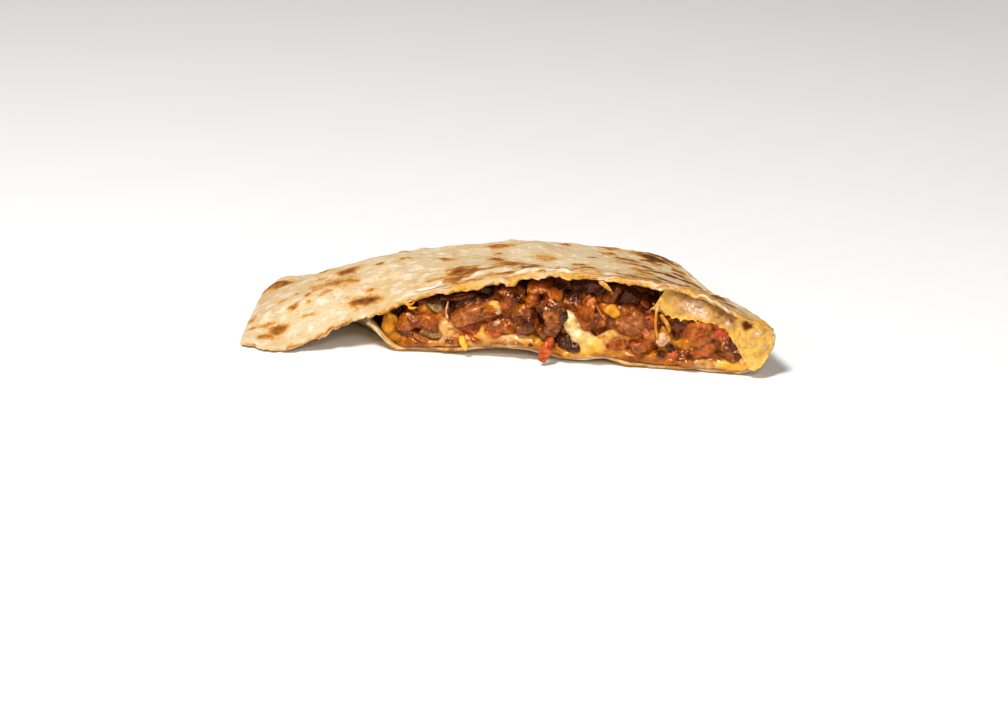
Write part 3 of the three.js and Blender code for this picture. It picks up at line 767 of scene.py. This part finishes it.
class Field:
    """Distances to a surface at the points of a grid between two corners: below 0 is inside."""

    def __init__(self, low, high, step):
        self.low = np.array(low, float)
        self.step = np.array(step, float)
        self.count = np.ceil((np.array(high) - self.low) / self.step).astype(int) + 1
        self.depth = np.full(self.count, 9.0)

    def around(self, centre, reach):
        first = np.floor((centre - reach - self.low) / self.step).astype(int)
        last = np.ceil((centre + reach - self.low) / self.step).astype(int) + 1
        first, last = np.clip(first, 0, self.count), np.clip(last, 0, self.count)
        cut = tuple(slice(a, b) for a, b in zip(first, last))
        axes = [self.low[k] + self.step[k] * np.arange(first[k], last[k]) for k in range(3)]
        return cut, np.stack(np.meshgrid(*axes, indexing="ij"), axis=-1)

    def everywhere(self):
        return self.around(self.low, float(np.max(self.count * self.step)))[1]

    def at(self, points):
        """The distance at each point, from the nearest corner of the grid."""
        cell = np.rint((points - self.low) / self.step).astype(int)
        return self.depth[tuple(np.clip(cell, 0, self.count - 1).T)]

    def add(self, lump, blend):
        cut, points = self.around(lump.centre, lump.reach)
        self.depth[cut] = melt(self.depth[cut], lump.distance(points), blend)

    def surface(self):
        """Points and four-sided faces of the surface, one point for each cell that it passes through."""
        field = self.depth
        for axis in range(3):
            np.moveaxis(field, axis, 0)[[0, -1]] = 1.0
        cells = self.count - 1
        total, crossings, edges = np.zeros((*cells, 3)), np.zeros(cells), []
        for axis in range(3):
            u, w = (axis + 1) % 3, (axis + 2) % 3
            ends = np.moveaxis(field, axis, 0)
            a, b = np.moveaxis(ends[:-1], 0, axis), np.moveaxis(ends[1:], 0, axis)
            crossed = (a < 0) != (b < 0)
            share = np.where(crossed, a / np.where(crossed, a - b, 1), 0)
            edges.append((crossed, a < 0))
            for i in (0, 1):
                for j in (0, 1):
                    cut = [slice(None)] * 3
                    cut[u], cut[w] = slice(i, i + cells[u]), slice(j, j + cells[w])
                    hit = crossed[tuple(cut)]
                    total[..., axis] += share[tuple(cut)]
                    total[..., u] += hit * i
                    total[..., w] += hit * j
                    crossings += hit
        used = crossings > 0
        number = np.full(cells, -1)
        number[used] = np.arange(used.sum())
        points = self.low + (np.argwhere(used) + total[used] / crossings[used][:, None]) * self.step
        faces = []
        for axis, (crossed, ahead) in enumerate(edges):
            u, w = (axis + 1) % 3, (axis + 2) % 3
            at = np.argwhere(crossed)
            rows = []
            for i, j in ((1, 1), (0, 1), (0, 0), (1, 0)):
                cell = at.copy()
                cell[:, u] -= i
                cell[:, w] -= j
                rows.append(number[tuple(cell.T)])
            quads = np.stack(rows, axis=-1)
            forward = ahead[tuple(at.T)]
            faces += [quads[forward], quads[~forward][:, ::-1]]
        return points, np.concatenate(faces)


def melt(a, b, blend):
    """The smaller of two distances, with the crease between them filled over the width of blend."""
    share = clamp(0.5 + 0.5 * (b - a) / blend)
    return lerp(b, a, share) - blend * share * (1 - share)


def painted(points, lumps, width, creased):
    """Colour of each point from the lumps near it. Over width, one lump's colour runs into the next, with
    or without painted shade in the crease between them."""
    near, gaps = [], np.full((2, len(points)), 9.0)
    for lump in lumps:
        at = np.nonzero(np.abs(points - lump.centre).max(axis=-1) < lump.reach + 1)[0]
        d = lump.distance(points[at])
        near.append((lump, at, d))
        closer = d < gaps[0, at]
        gaps[1, at] = np.where(closer, gaps[0, at], np.minimum(gaps[1, at], d))
        gaps[0, at] = np.minimum(gaps[0, at], d)
    gap = gaps[1] - gaps[0]
    total, colour = np.full(len(points), 1e-9), np.zeros((len(points), 3))
    for lump, at, d in near:
        weight = np.exp(-(d - gaps[0, at]) / width)
        colour[at] += weight[:, None] * lump.colour(points[at], gap[at] if creased else None)
        total[at] += weight
    return colour / total[:, None]


# ---- filling: the pocket that it lies in

CLEAR = 0.65  # upright clearance to the sheet, where it slopes
CHEESE_SHARE = (0.32, 0.17)  # of the pocket's height, at the left and at the right
BACK_INSET = SEAM + 9  # from the back rim to the filling's end
FOLD_INSET = 0.68  # from the fold to the filling, as a share of the fold's height
BACK_RIMS = 6  # rows of points across the front of a layer


def roof(a, v):
    return top_height(a, v) - HALF - CLEAR


def bed(a, v):
    return floor_height(a, v) + HALF + CLEAR


def cheese_top(a, v):
    x, y = plan(a, v)
    even = lerp(*CHEESE_SHARE, rise(x, 2, 22))
    share = even * (1 + 0.3 * np.sin(x / 5.2 + y / 7) + 0.2 * np.cos(y / 4.6 - x / 9))
    return lerp(bed(a, v), roof(a, v), share)


def on_sheet(x, y):
    """The a and v of a place in the plan, near the cut."""
    a = (x - LEFT_FRONT[0]) / (RIGHT[0] - LEFT_FRONT[0])
    v = 0
    for _ in range(3):
        px, py = plan(a, v)
        v = np.maximum(v + (y - py) / column_length(a), 0)
        a = a + (x - px) / row_length(v)
    return a, v


def past_fold(a, v, z):
    """How far a place is to the right of the middle of the fold's lower part."""
    low, high = floor_height(1, v), top_height(1, v)
    turn = np.sqrt(1 - (1 - clamp((z - low) / (FOLD_NOSE * (high - low)))) ** 2)
    return (a - before_fold(v, FOLD_UNDER * (1 - turn))) * row_length(v)


def past_wall(a, v, z):
    """How far a place is to the left of the middle of the left wall."""
    base = floor_height(a, v)
    t = clamp((z - base) / (top_height(a, v) - THICK - WALL_GAP - base)) ** (1 / 1.4)
    return (wall_foot(v) - a) * row_length(v) - t * WALL_RUN


def outside_pocket(points, under):
    """How far points are above the pocket's roof, past its fold or its wall, or below a level `under`
    millimetres below its bed."""
    x, y, z = xyz(points)
    a, v = on_sheet(x, y)
    beside = np.maximum(past_fold(a, v, z) + HALF + CLEAR, past_wall(a, v, z) + HALF)
    return np.maximum(np.maximum(z - roof(a, v), beside), bed(a, v) - under - z)


def layer_grid(columns, rows, inset, start, height):
    """Points over the pocket, from inset millimetres behind the cut. start is how far the left end is
    from the wall's foot."""
    t, s = unit_grid(rows, columns)
    column = lerp(lerp(*WALL_FOOT, t), 1, s)
    v = lerp(inset / column_length(column), 1 - BACK_INSET / column_length(column), t)
    a = lerp(wall_foot(v) + start / row_length(v), before_fold(v, FOLD_INSET), s)
    x, y = plan(a, v)
    return points_at(x, y, height(a, v))


def build_back(name, lower, upper, material, node, tones):
    """The layer behind what shows at the cut, in the two given colours."""
    points, faces = between(lower, upper, BACK_RIMS)
    points[..., 2] += 0.3 * fractal(points, 4, 63, 3)
    t = smooth(0.5 + 1.3 * fractal(points, 4, 64, 3))[..., None]
    tone = lerp(rgb(tones[0]), rgb(tones[1]), t)
    make_piece(name, points, faces, material, node, tone=tone.reshape(-1, 3))


def build_meat_back(material):
    lower = layer_grid(120, 40, 7.0, 0.6, lambda a, v: cheese_top(a, v) + 0.3)
    upper = layer_grid(120, 40, 8.5, -4.5, lambda a, v: roof(a, v) - 0.7)
    build_back("meat_back", lower, upper, material, "meat", ("#4A1C06", "#7A3A0E"))


def build_cheese_back(material):
    lower = layer_grid(150, 40, 1.6, 1.8, lambda a, v: bed(a, v) - 0.45)
    upper = layer_grid(150, 40, 2.6, 0.6, lambda a, v: cheese_top(a, v) - 0.6)
    build_back("cheese_back", lower, upper, material, "cheese", ("#C67A10", "#EDB440"))


# ---- filling: what shows at the cut

ROUND = (1, 1, 1)
FIBRED = (0.3, 1.2, 1.3)


def look(tones, rough, grains, patches, planes=0, stretch=ROUND):
    """The look of a lump: its colours in creases, on faces and on ridges; its roughness, its grains and its
    patches of colour in millimetres; how many planes hew it, none if it is smooth; its grains' stretch."""
    return dict(tones=tones.split(), rough=rough, grains=grains, patches=patches, planes=planes,
                stretch=stretch)


LOOKS = {
    "orange": look("#501902 #A04807 #CE7A26", 0.5, 0.16, 2.6, 9),
    "umber": look("#300E01 #702C04 #A65614", 0.5, 0.16, 2.6, 9),
    "red": look("#5C1403 #983208 #C85C20", 0.45, 0.14, 2.6, 9),
    "dark": look("#1A0601 #4A1A04 #8A4414", 0.5, 0.2, 1.8, 10),
    "tan": look("#642608 #98501E #C88248", 0.45, 0.34, 2.0, 8, FIBRED),
    "grey": look("#54300E #947040 #C4A474", 0.4, 0.25, 1.6, 8, FIBRED),
    "char": look("#070201 #220D05 #6E3814", 1.0, 0.4, 0.9),
    "pale": look("#B8703E #D89E72 #EFCDAA", 0.6, 0.1, 2.6),
    "onion": look("#A07834 #D6BC76 #F2E4C0", 0.3, 0.2, 1.5, 8, FIBRED),
    "pepper": look("#741A03 #AC3A0C #D46828", 0.25, 0.15, 2.0, 0, FIBRED),
    "cheese": look("#CC820E #ECA820 #F6C452", 0.9, 0.0, 2.2),
    "white": look("#E0A03C #F0CB84 #F8E6C0", 0.9, 0.0, 2.4),
    "amber": look("#8E4A06 #C07414 #E2A23E", 0.9, 0.2, 2.0),
    "string": look("#A8620E #D08E34 #EFC888", 0.5, 0.1, 2.4),
}

# Lumps of meat at the cut: x, z, half width, half height, turn in degrees, look, y of its front.
MEAT = [
    (-47.3, 9.4, 3.6, 3.0, 20, "orange", -0.4), (-44.2, 10.6, 3.6, 2.1, -38, "red", -1.0),
    (-47.4, 5.6, 3.6, 2.3, 0, "dark", -0.7), (-40.0, 9.4, 4.1, 3.3, -10, "orange", -0.9),
    (-39.4, 6.4, 3.2, 1.9, 8, "grey", -1.2), (-42.4, 4.6, 2.8, 1.0, -22, "tan", -1.1),
    (-36.3, 12.4, 2.2, 2.0, 0, "umber", 0.8), (-32.0, 17.4, 4.8, 1.7, 10, "umber", 2.0),
    (-26.6, 16.2, 7.0, 1.9, 14, "char", 2.2), (-26.4, 12.4, 8.2, 3.7, 12, "tan", -0.8),
    (-24.0, 14.0, 4.6, 1.9, 16, "orange", -0.6), (-29.2, 8.6, 3.8, 2.7, 6, "red", -0.7),
    (-34.0, 4.6, 1.7, 1.0, 0, "red", -1.2), (-15.8, 20.8, 3.9, 2.8, -8, "orange", 1.6),
    (-16.0, 16.4, 4.6, 3.5, 10, "orange", -0.4), (-13.3, 19.4, 1.4, 1.2, 0, "char", -0.6),
    (-6.0, 22.0, 4.4, 3.2, 12, "orange", 1.2), (-8.8, 18.4, 1.8, 2.4, -14, "orange", 0.0),
    (-11.9, 14.3, 3.4, 2.9, 0, "umber", -0.7), (-9.3, 11.8, 4.6, 4.1, 18, "dark", -1.3),
    (-20.6, 8.4, 2.9, 2.7, 30, "red", -0.8), (-15.2, 9.9, 4.4, 2.7, -6, "orange", -0.8),
    (-1.6, 14.0, 3.0, 4.0, 8, "tan", -1.4), (1.3, 14.4, 1.3, 3.6, 6, "char", -1.5),
    (-1.9, 18.0, 3.0, 1.1, 8, "char", -1.2), (-3.2, 20.0, 3.0, 2.2, 6, "orange", 0.4),
    (-3.2, 9.2, 3.2, 2.4, 10, "dark", -1.3), (7.6, 15.4, 2.9, 5.6, -24, "orange", -1.1),
    (7.4, 22.2, 6.6, 3.0, -4, "umber", 3.4), (17.4, 20.6, 6.6, 2.8, -6, "umber", 4.0),
    (11.4, 14.0, 3.1, 4.1, -8, "umber", 0.2), (20.2, 13.2, 4.8, 5.4, -30, "tan", -1.3),
    (23.6, 6.8, 4.7, 3.0, 10, "orange", -1.0), (27.0, 14.4, 2.3, 2.7, -20, "red", -0.2),
    (27.6, 10.2, 2.5, 2.4, 0, "orange", -0.6), (17.0, 7.2, 3.8, 2.4, 4, "orange", -0.7),
    (12.2, 5.2, 3.4, 1.7, -4, "orange", -0.5), (33.2, 12.0, 2.4, 2.6, -30, "dark", 2.8),
    (41.0, 11.4, 6.0, 3.8, 8, "orange", -0.6), (48.0, 11.6, 4.8, 2.8, -24, "red", -0.9),
    (42.4, 7.0, 5.2, 3.1, 8, "orange", -1.3), (51.2, 8.2, 3.8, 3.7, -30, "dark", -0.9),
    (37.6, 4.6, 4.8, 1.9, -6, "umber", -0.8), (33.8, 4.2, 2.6, 1.7, 0, "red", -0.9),
    (47.0, 5.2, 3.4, 1.8, -10, "umber", -0.5), (30.4, 5.0, 1.8, 1.5, 10, "char", -1.3),
    (33.0, 7.4, 1.4, 1.3, 0, "char", -1.2), (49.2, 8.6, 1.1, 1.3, 0, "char", -1.6),
    (13.7, 20.4, 1.2, 1.1, 0, "red", 1.6), (53.4, 6.8, 1.2, 1.1, 0, "char", -1.0),
    (-19.8, 11.0, 1.9, 0.9, 30, "pale", -1.0), (-12.0, 8.0, 1.1, 0.8, 20, "pale", -1.0),
    (-38.4, 14.0, 2.8, 1.3, -10, "onion", 1.2), (-25.6, 5.2, 2.2, 1.2, -12, "orange", -1.4),
    (-18.8, 5.0, 2.4, 1.2, 20, "tan", -1.5), (-13.4, 5.4, 2.2, 1.2, -6, "tan", -1.5),
    (-9.0, 5.0, 1.6, 1.1, 10, "umber", -1.4), (-31.6, 4.4, 1.4, 0.9, 0, "orange", -1.3),
]
# Lumps of cheese at the cut, as the meat.
CHEESE = [
    (-53.0, 8.4, 2.3, 3.2, 20, "cheese", 0.0), (-33.4, 7.6, 4.2, 3.2, 0, "white", -1.2),
    (-36.2, 9.0, 2.0, 4.0, 24, "amber", -0.1), (-30.4, 5.6, 2.8, 1.8, 0, "cheese", -0.5),
    (-21.6, 16.2, 2.4, 1.2, 20, "cheese", 0.3), (-19.4, 15.0, 1.4, 1.6, 12, "white", 0.1),
    (-22.8, 7.4, 3.2, 3.6, -20, "cheese", 0.2), (-24.6, 5.2, 3.0, 1.8, 0, "white", -0.3),
    (-11.0, 6.6, 4.4, 2.6, 0, "cheese", 0.0), (-13.6, 6.0, 2.6, 1.6, 0, "white", -0.6),
    (-17.6, 5.4, 3.0, 1.2, -4, "onion", -0.9), (2.9, 12.6, 4.4, 2.8, -58, "white", -1.8),
    (6.4, 8.8, 4.0, 3.2, -50, "white", -1.8), (9.4, 5.8, 4.0, 2.8, -30, "cheese", -1.5),
    (-52.4, 5.8, 3.0, 1.9, -44, "cheese", -0.1), (-46.6, 3.6, 3.2, 1.1, 0, "umber", -0.3),
    (14.8, 17.0, 2.1, 2.0, 10, "cheese", 0.9), (24.2, 11.0, 2.0, 2.4, -20, "cheese", 0.3),
    (51.0, 3.2, 2.4, 1.9, 4, "cheese", -1.2), (3.6, 3.1, 3.0, 1.0, 6, "cheese", -1.0),
    (46.0, 3.8, 2.6, 1.4, 0, "white", -0.3),
    (55.4, 5.2, 2.6, 1.7, -20, "white", -0.7), (14.4, 9.0, 3.0, 1.8, 10, "white", -0.6),
    (31.2, 8.4, 2.8, 5.0, 10, "amber", 0.0), (56.2, 8.2, 2.4, 4.0, 20, "cheese", 0.4),
    (-3.0, 6.0, 3.4, 2.4, 0, "amber", 0.4), (20.0, 8.4, 3.4, 2.6, 0, "amber", 0.4),
    (-42.0, 12.6, 3.0, 2.4, 0, "amber", 1.6), (38.0, 8.0, 3.0, 2.4, 0, "amber", 0.2),
    (11.8, 18.2, 3.4, 2.4, 0, "amber", 2.6), (16.8, 15.8, 1.4, 1.2, -30, "cheese", 1.1),
]
# Melted cheese along the foot of the cut: x where each stretch starts, and its look.
SKIRT = [(-50, "umber"), (-41, "amber"), (-38, "white"), (-31, "cheese"), (-26, "white"), (-22, "amber"),
         (-18, "white"), (-12, "cheese"), (-6, "amber"), (3, "cheese"), (13, "amber"), (19, "umber"),
         (27, "amber"), (34, "umber"), (41, "white"), (48, "cheese")]
SKIRT_END = 57
BEHIND_STEP = 4.7  # between the lumps that show in the dark behind the others
VOXEL = (0.34, 0.4, 0.34)
FACE_LOW, FACE_HIGH = (-57, -4, 1.2), (62, 10, 26.5)
MEAT_BASE = (2.4, 8.6)  # y of the meat between its lumps, and in the hollow under the top sheet
MEAT_BLEND, CHEESE_BLEND = 0.8, 2.2  # how far lumps of each melt together
MEAT_SEED, CHEESE_SEED = 101, 201


def lumps_of(rows, seed):
    made = []
    for i, (x, z, wide, high, turn, kind, front) in enumerate(rows):
        deep = max(1.0, min(0.85 * wide, 1.2 * high, 3.8))
        made.append(Lump((x, front + deep, z), (wide, deep, high), turn, kind, seed + i))
    return made


def random_lump(draw, centre, size, turn, kind):
    return Lump(centre, size, draw.uniform(-turn, turn), kind, int(draw.integers(1, 9000)))


def lumps_behind(draw):
    made = []
    for x in np.arange(-49, 54, BEHIND_STEP):
        for z in np.arange(5.5, 24, BEHIND_STEP):
            centre = np.array([x, 6.4, z]) + draw.uniform(-1.5, 1.5, 3)
            size = draw.uniform(2.2, 3.6, 3)
            kind = draw.choice(["umber", "orange", "dark"])
            made.append(random_lump(draw, centre, size, 60, kind))
    return made


def meat_field(lumps):
    field = Field(FACE_LOW, FACE_HIGH, VOXEL)
    points = field.everywhere()
    x, y, z = xyz(points)
    hollow = smooth((z - roof(on_sheet(x, y)[0], 0) + 7.5) / 4.5)
    field.depth = lerp(*MEAT_BASE, hollow) + 1.4 * noise(points, 4.2, 65) - y
    for lump in lumps:
        field.add(lump, MEAT_BLEND)
    field.depth = np.maximum(field.depth, outside_pocket(points, 0.2))
    return field


def skirt_lumps(draw):
    made = []
    x = SKIRT[0][0]
    while x < SKIRT_END:
        kind = [name for start, name in SKIRT if start <= x][-1]
        size = (draw.uniform(2.4, 4.0), 2.6, draw.uniform(1.2, 2.0))
        centre = (x, draw.uniform(1.6, 2.9), bed(*on_sheet(x, 1.5)) + 0.6)
        made.append(random_lump(draw, centre, size, 12, kind))
        x += draw.uniform(1.8, 3.2)
    return made


def cheese_field(lumps):
    field = Field(FACE_LOW, FACE_HIGH, VOXEL)
    for lump in lumps:
        field.add(lump, CHEESE_BLEND)
    points = field.everywhere()
    over_rim = 1.1 * smooth((0.4 - points[..., 1]) / 0.8)
    field.depth = np.maximum(field.depth, outside_pocket(points, 0.6 + over_rim))
    return field


def sauced(tone, points, near, share, reach):
    """The tones with sauce over them in patches, and where the other filling is nearer than reach. What
    is nearly white stays clean."""
    patches = smooth(2.2 * fractal(points, 3.2, 71, 3) + 0.25)
    clean = 0.7 * smooth(4 * tone[:, 2] - 0.4)
    sauce = lerp(rgb("#883A05"), rgb("#BC6C16"), smooth(0.5 + fractal(points, 2.2, 72, 3))[:, None])
    cover = clamp(share * patches + 0.7 * smooth(1 - near / reach)) * (1 - clean)
    return lerp(tone, sauce, cover[:, None])


def build_cut_face(meat, cheese):
    """The meat and the cheese that show at the cut. Returns the points of the meat's surface."""
    chunks = lumps_of(MEAT, MEAT_SEED) + lumps_behind(np.random.default_rng(3))
    melts = lumps_of(CHEESE, CHEESE_SEED) + skirt_lumps(np.random.default_rng(4))
    hard, soft = meat_field(chunks), cheese_field(melts)
    points, faces = hard.surface()
    # True paints shade into the creases between the meat's lumps.
    tone = sauced(painted(points, chunks, 0.3, True), points, 0.5 + soft.at(points), 0.45, 0.8)
    x, y, z = xyz(points)
    # Painted shade: the meat's colour darkens deeper behind the cut and close under the top sheet, keeping
    # more red than green and blue.
    below_roof = roof(*on_sheet(x, y)) - z
    painted_shade = lerp(1.0, 0.08, rise(y, 0.6, 4.4)) * lerp(0.4, 1.0, smooth(below_roof / 4.5))
    tone = tone * painted_shade[:, None] ** (0.75, 1, 1.3)
    make_piece("meat_face", points, faces, meat, "meat", tone=tone)
    melted, faces = soft.surface()
    tone = sauced(painted(melted, melts, 1.1, False), melted, hard.at(melted), 0.75, 1.5)
    make_piece("cheese_face", melted, faces, cheese, "cheese", tone=tone)
    return points


@functools.cache
def ball(level):
    """Unit points and triangles of a ball."""
    mesh = bmesh.new()
    bmesh.ops.create_icosphere(mesh, subdivisions=level, radius=1.0)
    points = np.array([v.co for v in mesh.verts])
    faces = [[v.index for v in f.verts] for f in mesh.faces]
    mesh.free()
    return points, faces


def lump_mesh(lump, level):
    """Points, faces and colours of one lump by itself."""
    d, faces = ball(level)
    p = d * lump.size / lump.measure(d)[:, None]
    p = p + d * lump.swell(p)[:, None]
    points = lump.centre + p @ lump.axes.T
    return points, faces, lump.colour(points)


def join(name, parts, material, node):
    """One piece from several sets of points, faces and colours."""
    faces, used = [], 0
    for points, tone_and_shade, _ in parts:
        faces += [[i + used for i in face] for face in tone_and_shade]
        used += len(points)
    points, tone = (np.concatenate([part[k] for part in parts]) for k in (0, 2))
    make_piece(name, points, faces, material, node, tone=tone)


# Scraps stuck all over the meat's face: each look's share, and how many there are.
SCRAPS = {"orange": 0.34, "tan": 0.2, "dark": 0.16, "red": 0.14, "pale": 0.04, "amber": 0.1, "char": 0.02}
SCRAP_COUNT = 110


def build_scraps(face, material):
    draw = np.random.default_rng(5)
    front = face[(face[:, 1] < 1.5) & (face[:, 2] > 3.2)]
    parts = []
    for place in front[draw.integers(0, len(front), SCRAP_COUNT)]:
        size = draw.uniform(0.25, 0.6) * np.array([draw.uniform(0.7, 2.0), 0.8, 1])
        kind = draw.choice(list(SCRAPS), p=list(SCRAPS.values()))
        parts.append(lump_mesh(random_lump(draw, place, size, 70, kind), 2))
    join("scraps", parts, material, "meat")


def strand(path, radii, kind, seed, flat=1.0, sides=12):
    """A tapering strand along a smooth path, rounded off at both ends."""
    path = np.array(path, float)
    count = 14 * (len(path) - 1)
    at = np.linspace(0, len(path) - 1, count)
    centre = np.stack([profile(list(zip(range(len(path)), path[:, k])), at) for k in range(3)], axis=-1)
    radius = np.interp(at, np.arange(len(radii)), radii)
    ends = np.sin(np.pi * np.linspace(0, 1, count)) ** 0.25
    along = np.gradient(centre, axis=0)
    along /= np.linalg.norm(along, axis=1, keepdims=True)
    side = np.cross(along, (0.0, 1.0, 0.0))
    side /= np.linalg.norm(side, axis=1, keepdims=True)
    out = np.cross(side, along)
    angle = 2 * np.pi * np.arange(sides) / sides
    ring = side[:, None] * np.cos(angle)[None, :, None] + flat * out[:, None] * np.sin(angle)[None, :, None]
    p = centre[:, None] + ring * (radius * ends)[:, None, None]
    p = p + ring * (0.22 * radius[:, None] * noise(p + seed, 0.9, 91))[..., None]
    number = np.arange(count * sides).reshape(count, sides)
    closed = np.append(number, number[:, :1], axis=1)
    faces = quads_between(closed[:-1], closed[1:]).tolist()
    faces += [number[0][::-1].tolist(), number[-1].tolist()]
    points = p.reshape(-1, 3)
    tint = Lump(centre.mean(axis=0), (2, 2, 2), 0, kind, seed)
    return points, faces, tint.colour(points)


def build_strands(name, strands, material, node):
    join(name, [strand(*row) for row in strands], material, node)


def build_lump(name, lump, material, node):
    join(name, [lump_mesh(Lump(*lump), 5)], material, node)


# Strands: points of the path, radii at them, look, seed and, if it isn't round, how flat it is.
CHEESE_STRINGS = [
    ([(29.8, 1.8, 21.2), (28.8, 0.4, 17.8), (28.9, -0.4, 13.0), (29.8, -0.4, 9.5)],
     (0.7, 0.45, 0.45, 0.8), "string", 1),
    ([(29.9, 1.2, 17.2), (32.0, 0.2, 14.8), (33.1, -0.4, 12.2)], (0.8, 0.6, 0.7), "string", 2),
    ([(-34.6, 1.4, 16.8), (-34.9, -0.2, 14.0), (-34.4, -0.4, 11.8)], (0.35, 0.28, 0.4), "pale", 3),
    ([(-30.2, -0.6, 6.8), (-29.2, -1.8, 4.6), (-28.4, -2.3, 2.4)], (1.1, 1.1, 0.5), "cheese", 4, 0.5),
    ([(10.4, 1.0, 19.0), (12.0, 0.4, 16.6), (13.6, 0.4, 14.4)], (0.25, 0.2, 0.3), "amber", 5),
    ([(-48.6, -0.2, 16.4), (-46.2, -0.9, 15.4), (-44.4, -0.6, 16.6)], (0.5, 0.45, 0.3), "amber", 7),
    ([(-47.0, -0.3, 16.6), (-45.8, -1.0, 14.6), (-43.6, -0.9, 14.8)], (0.4, 0.5, 0.3), "cheese", 8),
]
# Shreds of the sheet that hang from the edge of the top one.
SHREDS = [
    ([(11.4, 0.5, 26.8), (13.4, -0.4, 25.6), (15.5, -0.6, 24.0)], (0.8, 0.75, 0.4), "string", 9, 0.4),
    ([(-50.0, 0.2, 16.2), (-47.6, -0.8, 16.2), (-45.4, -0.8, 16.8)], (0.5, 0.55, 0.3), "white", 11, 0.4),
]
PEPPER = ([(-2.4, -0.6, 8.4), (-3.4, -2.3, 5.8), (-4.2, -3.3, 3.2), (-4.9, -3.9, 1.2)],
          (1.3, 1.65, 1.75, 1.6), "pepper", 6, 0.6, 20)
# Lumps: centre, half sizes, turn in degrees, look and seed.
CHARRED = ((2.9, 0.9, 6.0), (4.4, 2.8, 2.8), -4, "char", 301)
ONION = ((30.9, 1.4, 9.4), (2.4, 2.2, 2.4), 0, "pale", 302)


# ---- stage, light and camera

# The camera sees the cut from AZIMUTH to its right and ELEVATION above it, DISTANCE from the middle of
# its aim, which is at x = 0 on the cut line, shifted so that it falls at AIM_PIXEL of the 1008 x 720 image.
AZIMUTH, ELEVATION, DISTANCE = math.radians(12), math.radians(20), 800
MM_PER_PIXEL = 0.30
AIM_PIXEL = (560, 363)
IMAGE = (1008, 720)
SENSOR = 36
CLIP_END = 50  # in metres, as are the sizes below
FLOOR_HALF = 6.0
WORLD_STRENGTH = 0.17
# Square lights that point at the origin: name, place, side, and power in watts.
LIGHTS = [("key", (-0.25, -0.62, 1.1), 0.28, 16.5), ("fill", (0.8, -1.0, 0.6), 0.7, 3.2),
          ("glint", (-0.75, -1.0, 0.75), 0.1, 1.9), ("glint", (0.35, -1.0, 0.75), 0.1, 1.9)]


def build_camera():
    back = Vector((math.sin(AZIMUTH) * math.cos(ELEVATION), -math.cos(AZIMUTH) * math.cos(ELEVATION),
                   math.sin(ELEVATION)))
    right = Vector((math.cos(AZIMUTH), math.sin(AZIMUTH), 0))
    up = back.cross(right)
    aim = Vector((-CENTRE[0], -CENTRE[1], 0))
    aside = (AIM_PIXEL[0] - IMAGE[0] / 2) * MM_PER_PIXEL
    down = (AIM_PIXEL[1] - IMAGE[1] / 2) * MM_PER_PIXEL
    place = (aim + back * DISTANCE - right * aside + up * down) * MM
    camera = put_object("camera", bpy.data.cameras.new("camera"))
    camera.matrix_world = Matrix.Translation(place) @ Matrix((right, up, back)).transposed().to_4x4()
    camera.data.sensor_width = SENSOR
    camera.data.lens = SENSOR * DISTANCE / (IMAGE[0] * MM_PER_PIXEL)
    camera.data.clip_end = CLIP_END
    bpy.context.scene.camera = camera


def build_stage():
    mesh = bpy.data.meshes.new("floor")
    corners = [(x * FLOOR_HALF, y * FLOOR_HALF, 0) for x, y in ((-1, -1), (1, -1), (1, 1), (-1, 1))]
    mesh.from_pydata(corners, [], [(0, 1, 2, 3)])
    mesh.materials.append(floor_material())
    put_object("floor", mesh)


def build_light():
    world = bpy.data.worlds.new("studio")
    world.use_nodes = True
    backdrop = world.node_tree.nodes["Background"]
    backdrop.inputs["Color"].default_value = (1, 1, 1, 1)
    backdrop.inputs["Strength"].default_value = WORLD_STRENGTH
    bpy.context.scene.world = world
    for name, place, side, power in LIGHTS:
        light = bpy.data.lights.new(name, "AREA")
        light.size = side
        light.energy = power
        turn = (-Vector(place)).to_track_quat("-Z", "Y").to_matrix().to_4x4()
        put_object(name, light).matrix_world = Matrix.Translation(place) @ turn
    bpy.context.scene.view_settings.view_transform = "Standard"


# ---- the scene

build_camera()
build_stage()
build_light()

tortilla = tortilla_material()
meat = filling_material("meat", 1.1, 0.4, (0.28, 0.1), 0.8, 0.06)
cheese = filling_material("cheese", 1.6, 0.2, (0.34, 0.2), 0.4, 0.25, 0.4)
glossy = filling_material("glossy", 1.1, 0.4, (0.24, 0.12), 0.7)

build_tortilla(tortilla)
build_curtain(curtain_material())
build_meat_back(meat)
build_cheese_back(cheese)
build_scraps(build_cut_face(meat, cheese), meat)
build_strands("cheese_strings", CHEESE_STRINGS, cheese, "cheese")
build_strands("tortilla_shreds", SHREDS, cheese, "tortilla")
build_lump("charred_lump", CHARRED, glossy, "charred_piece")
build_lump("onion_lump", ONION, meat, "onion_piece")
build_strands("red_pepper_strip", [PEPPER], glossy, "pepper_strip")
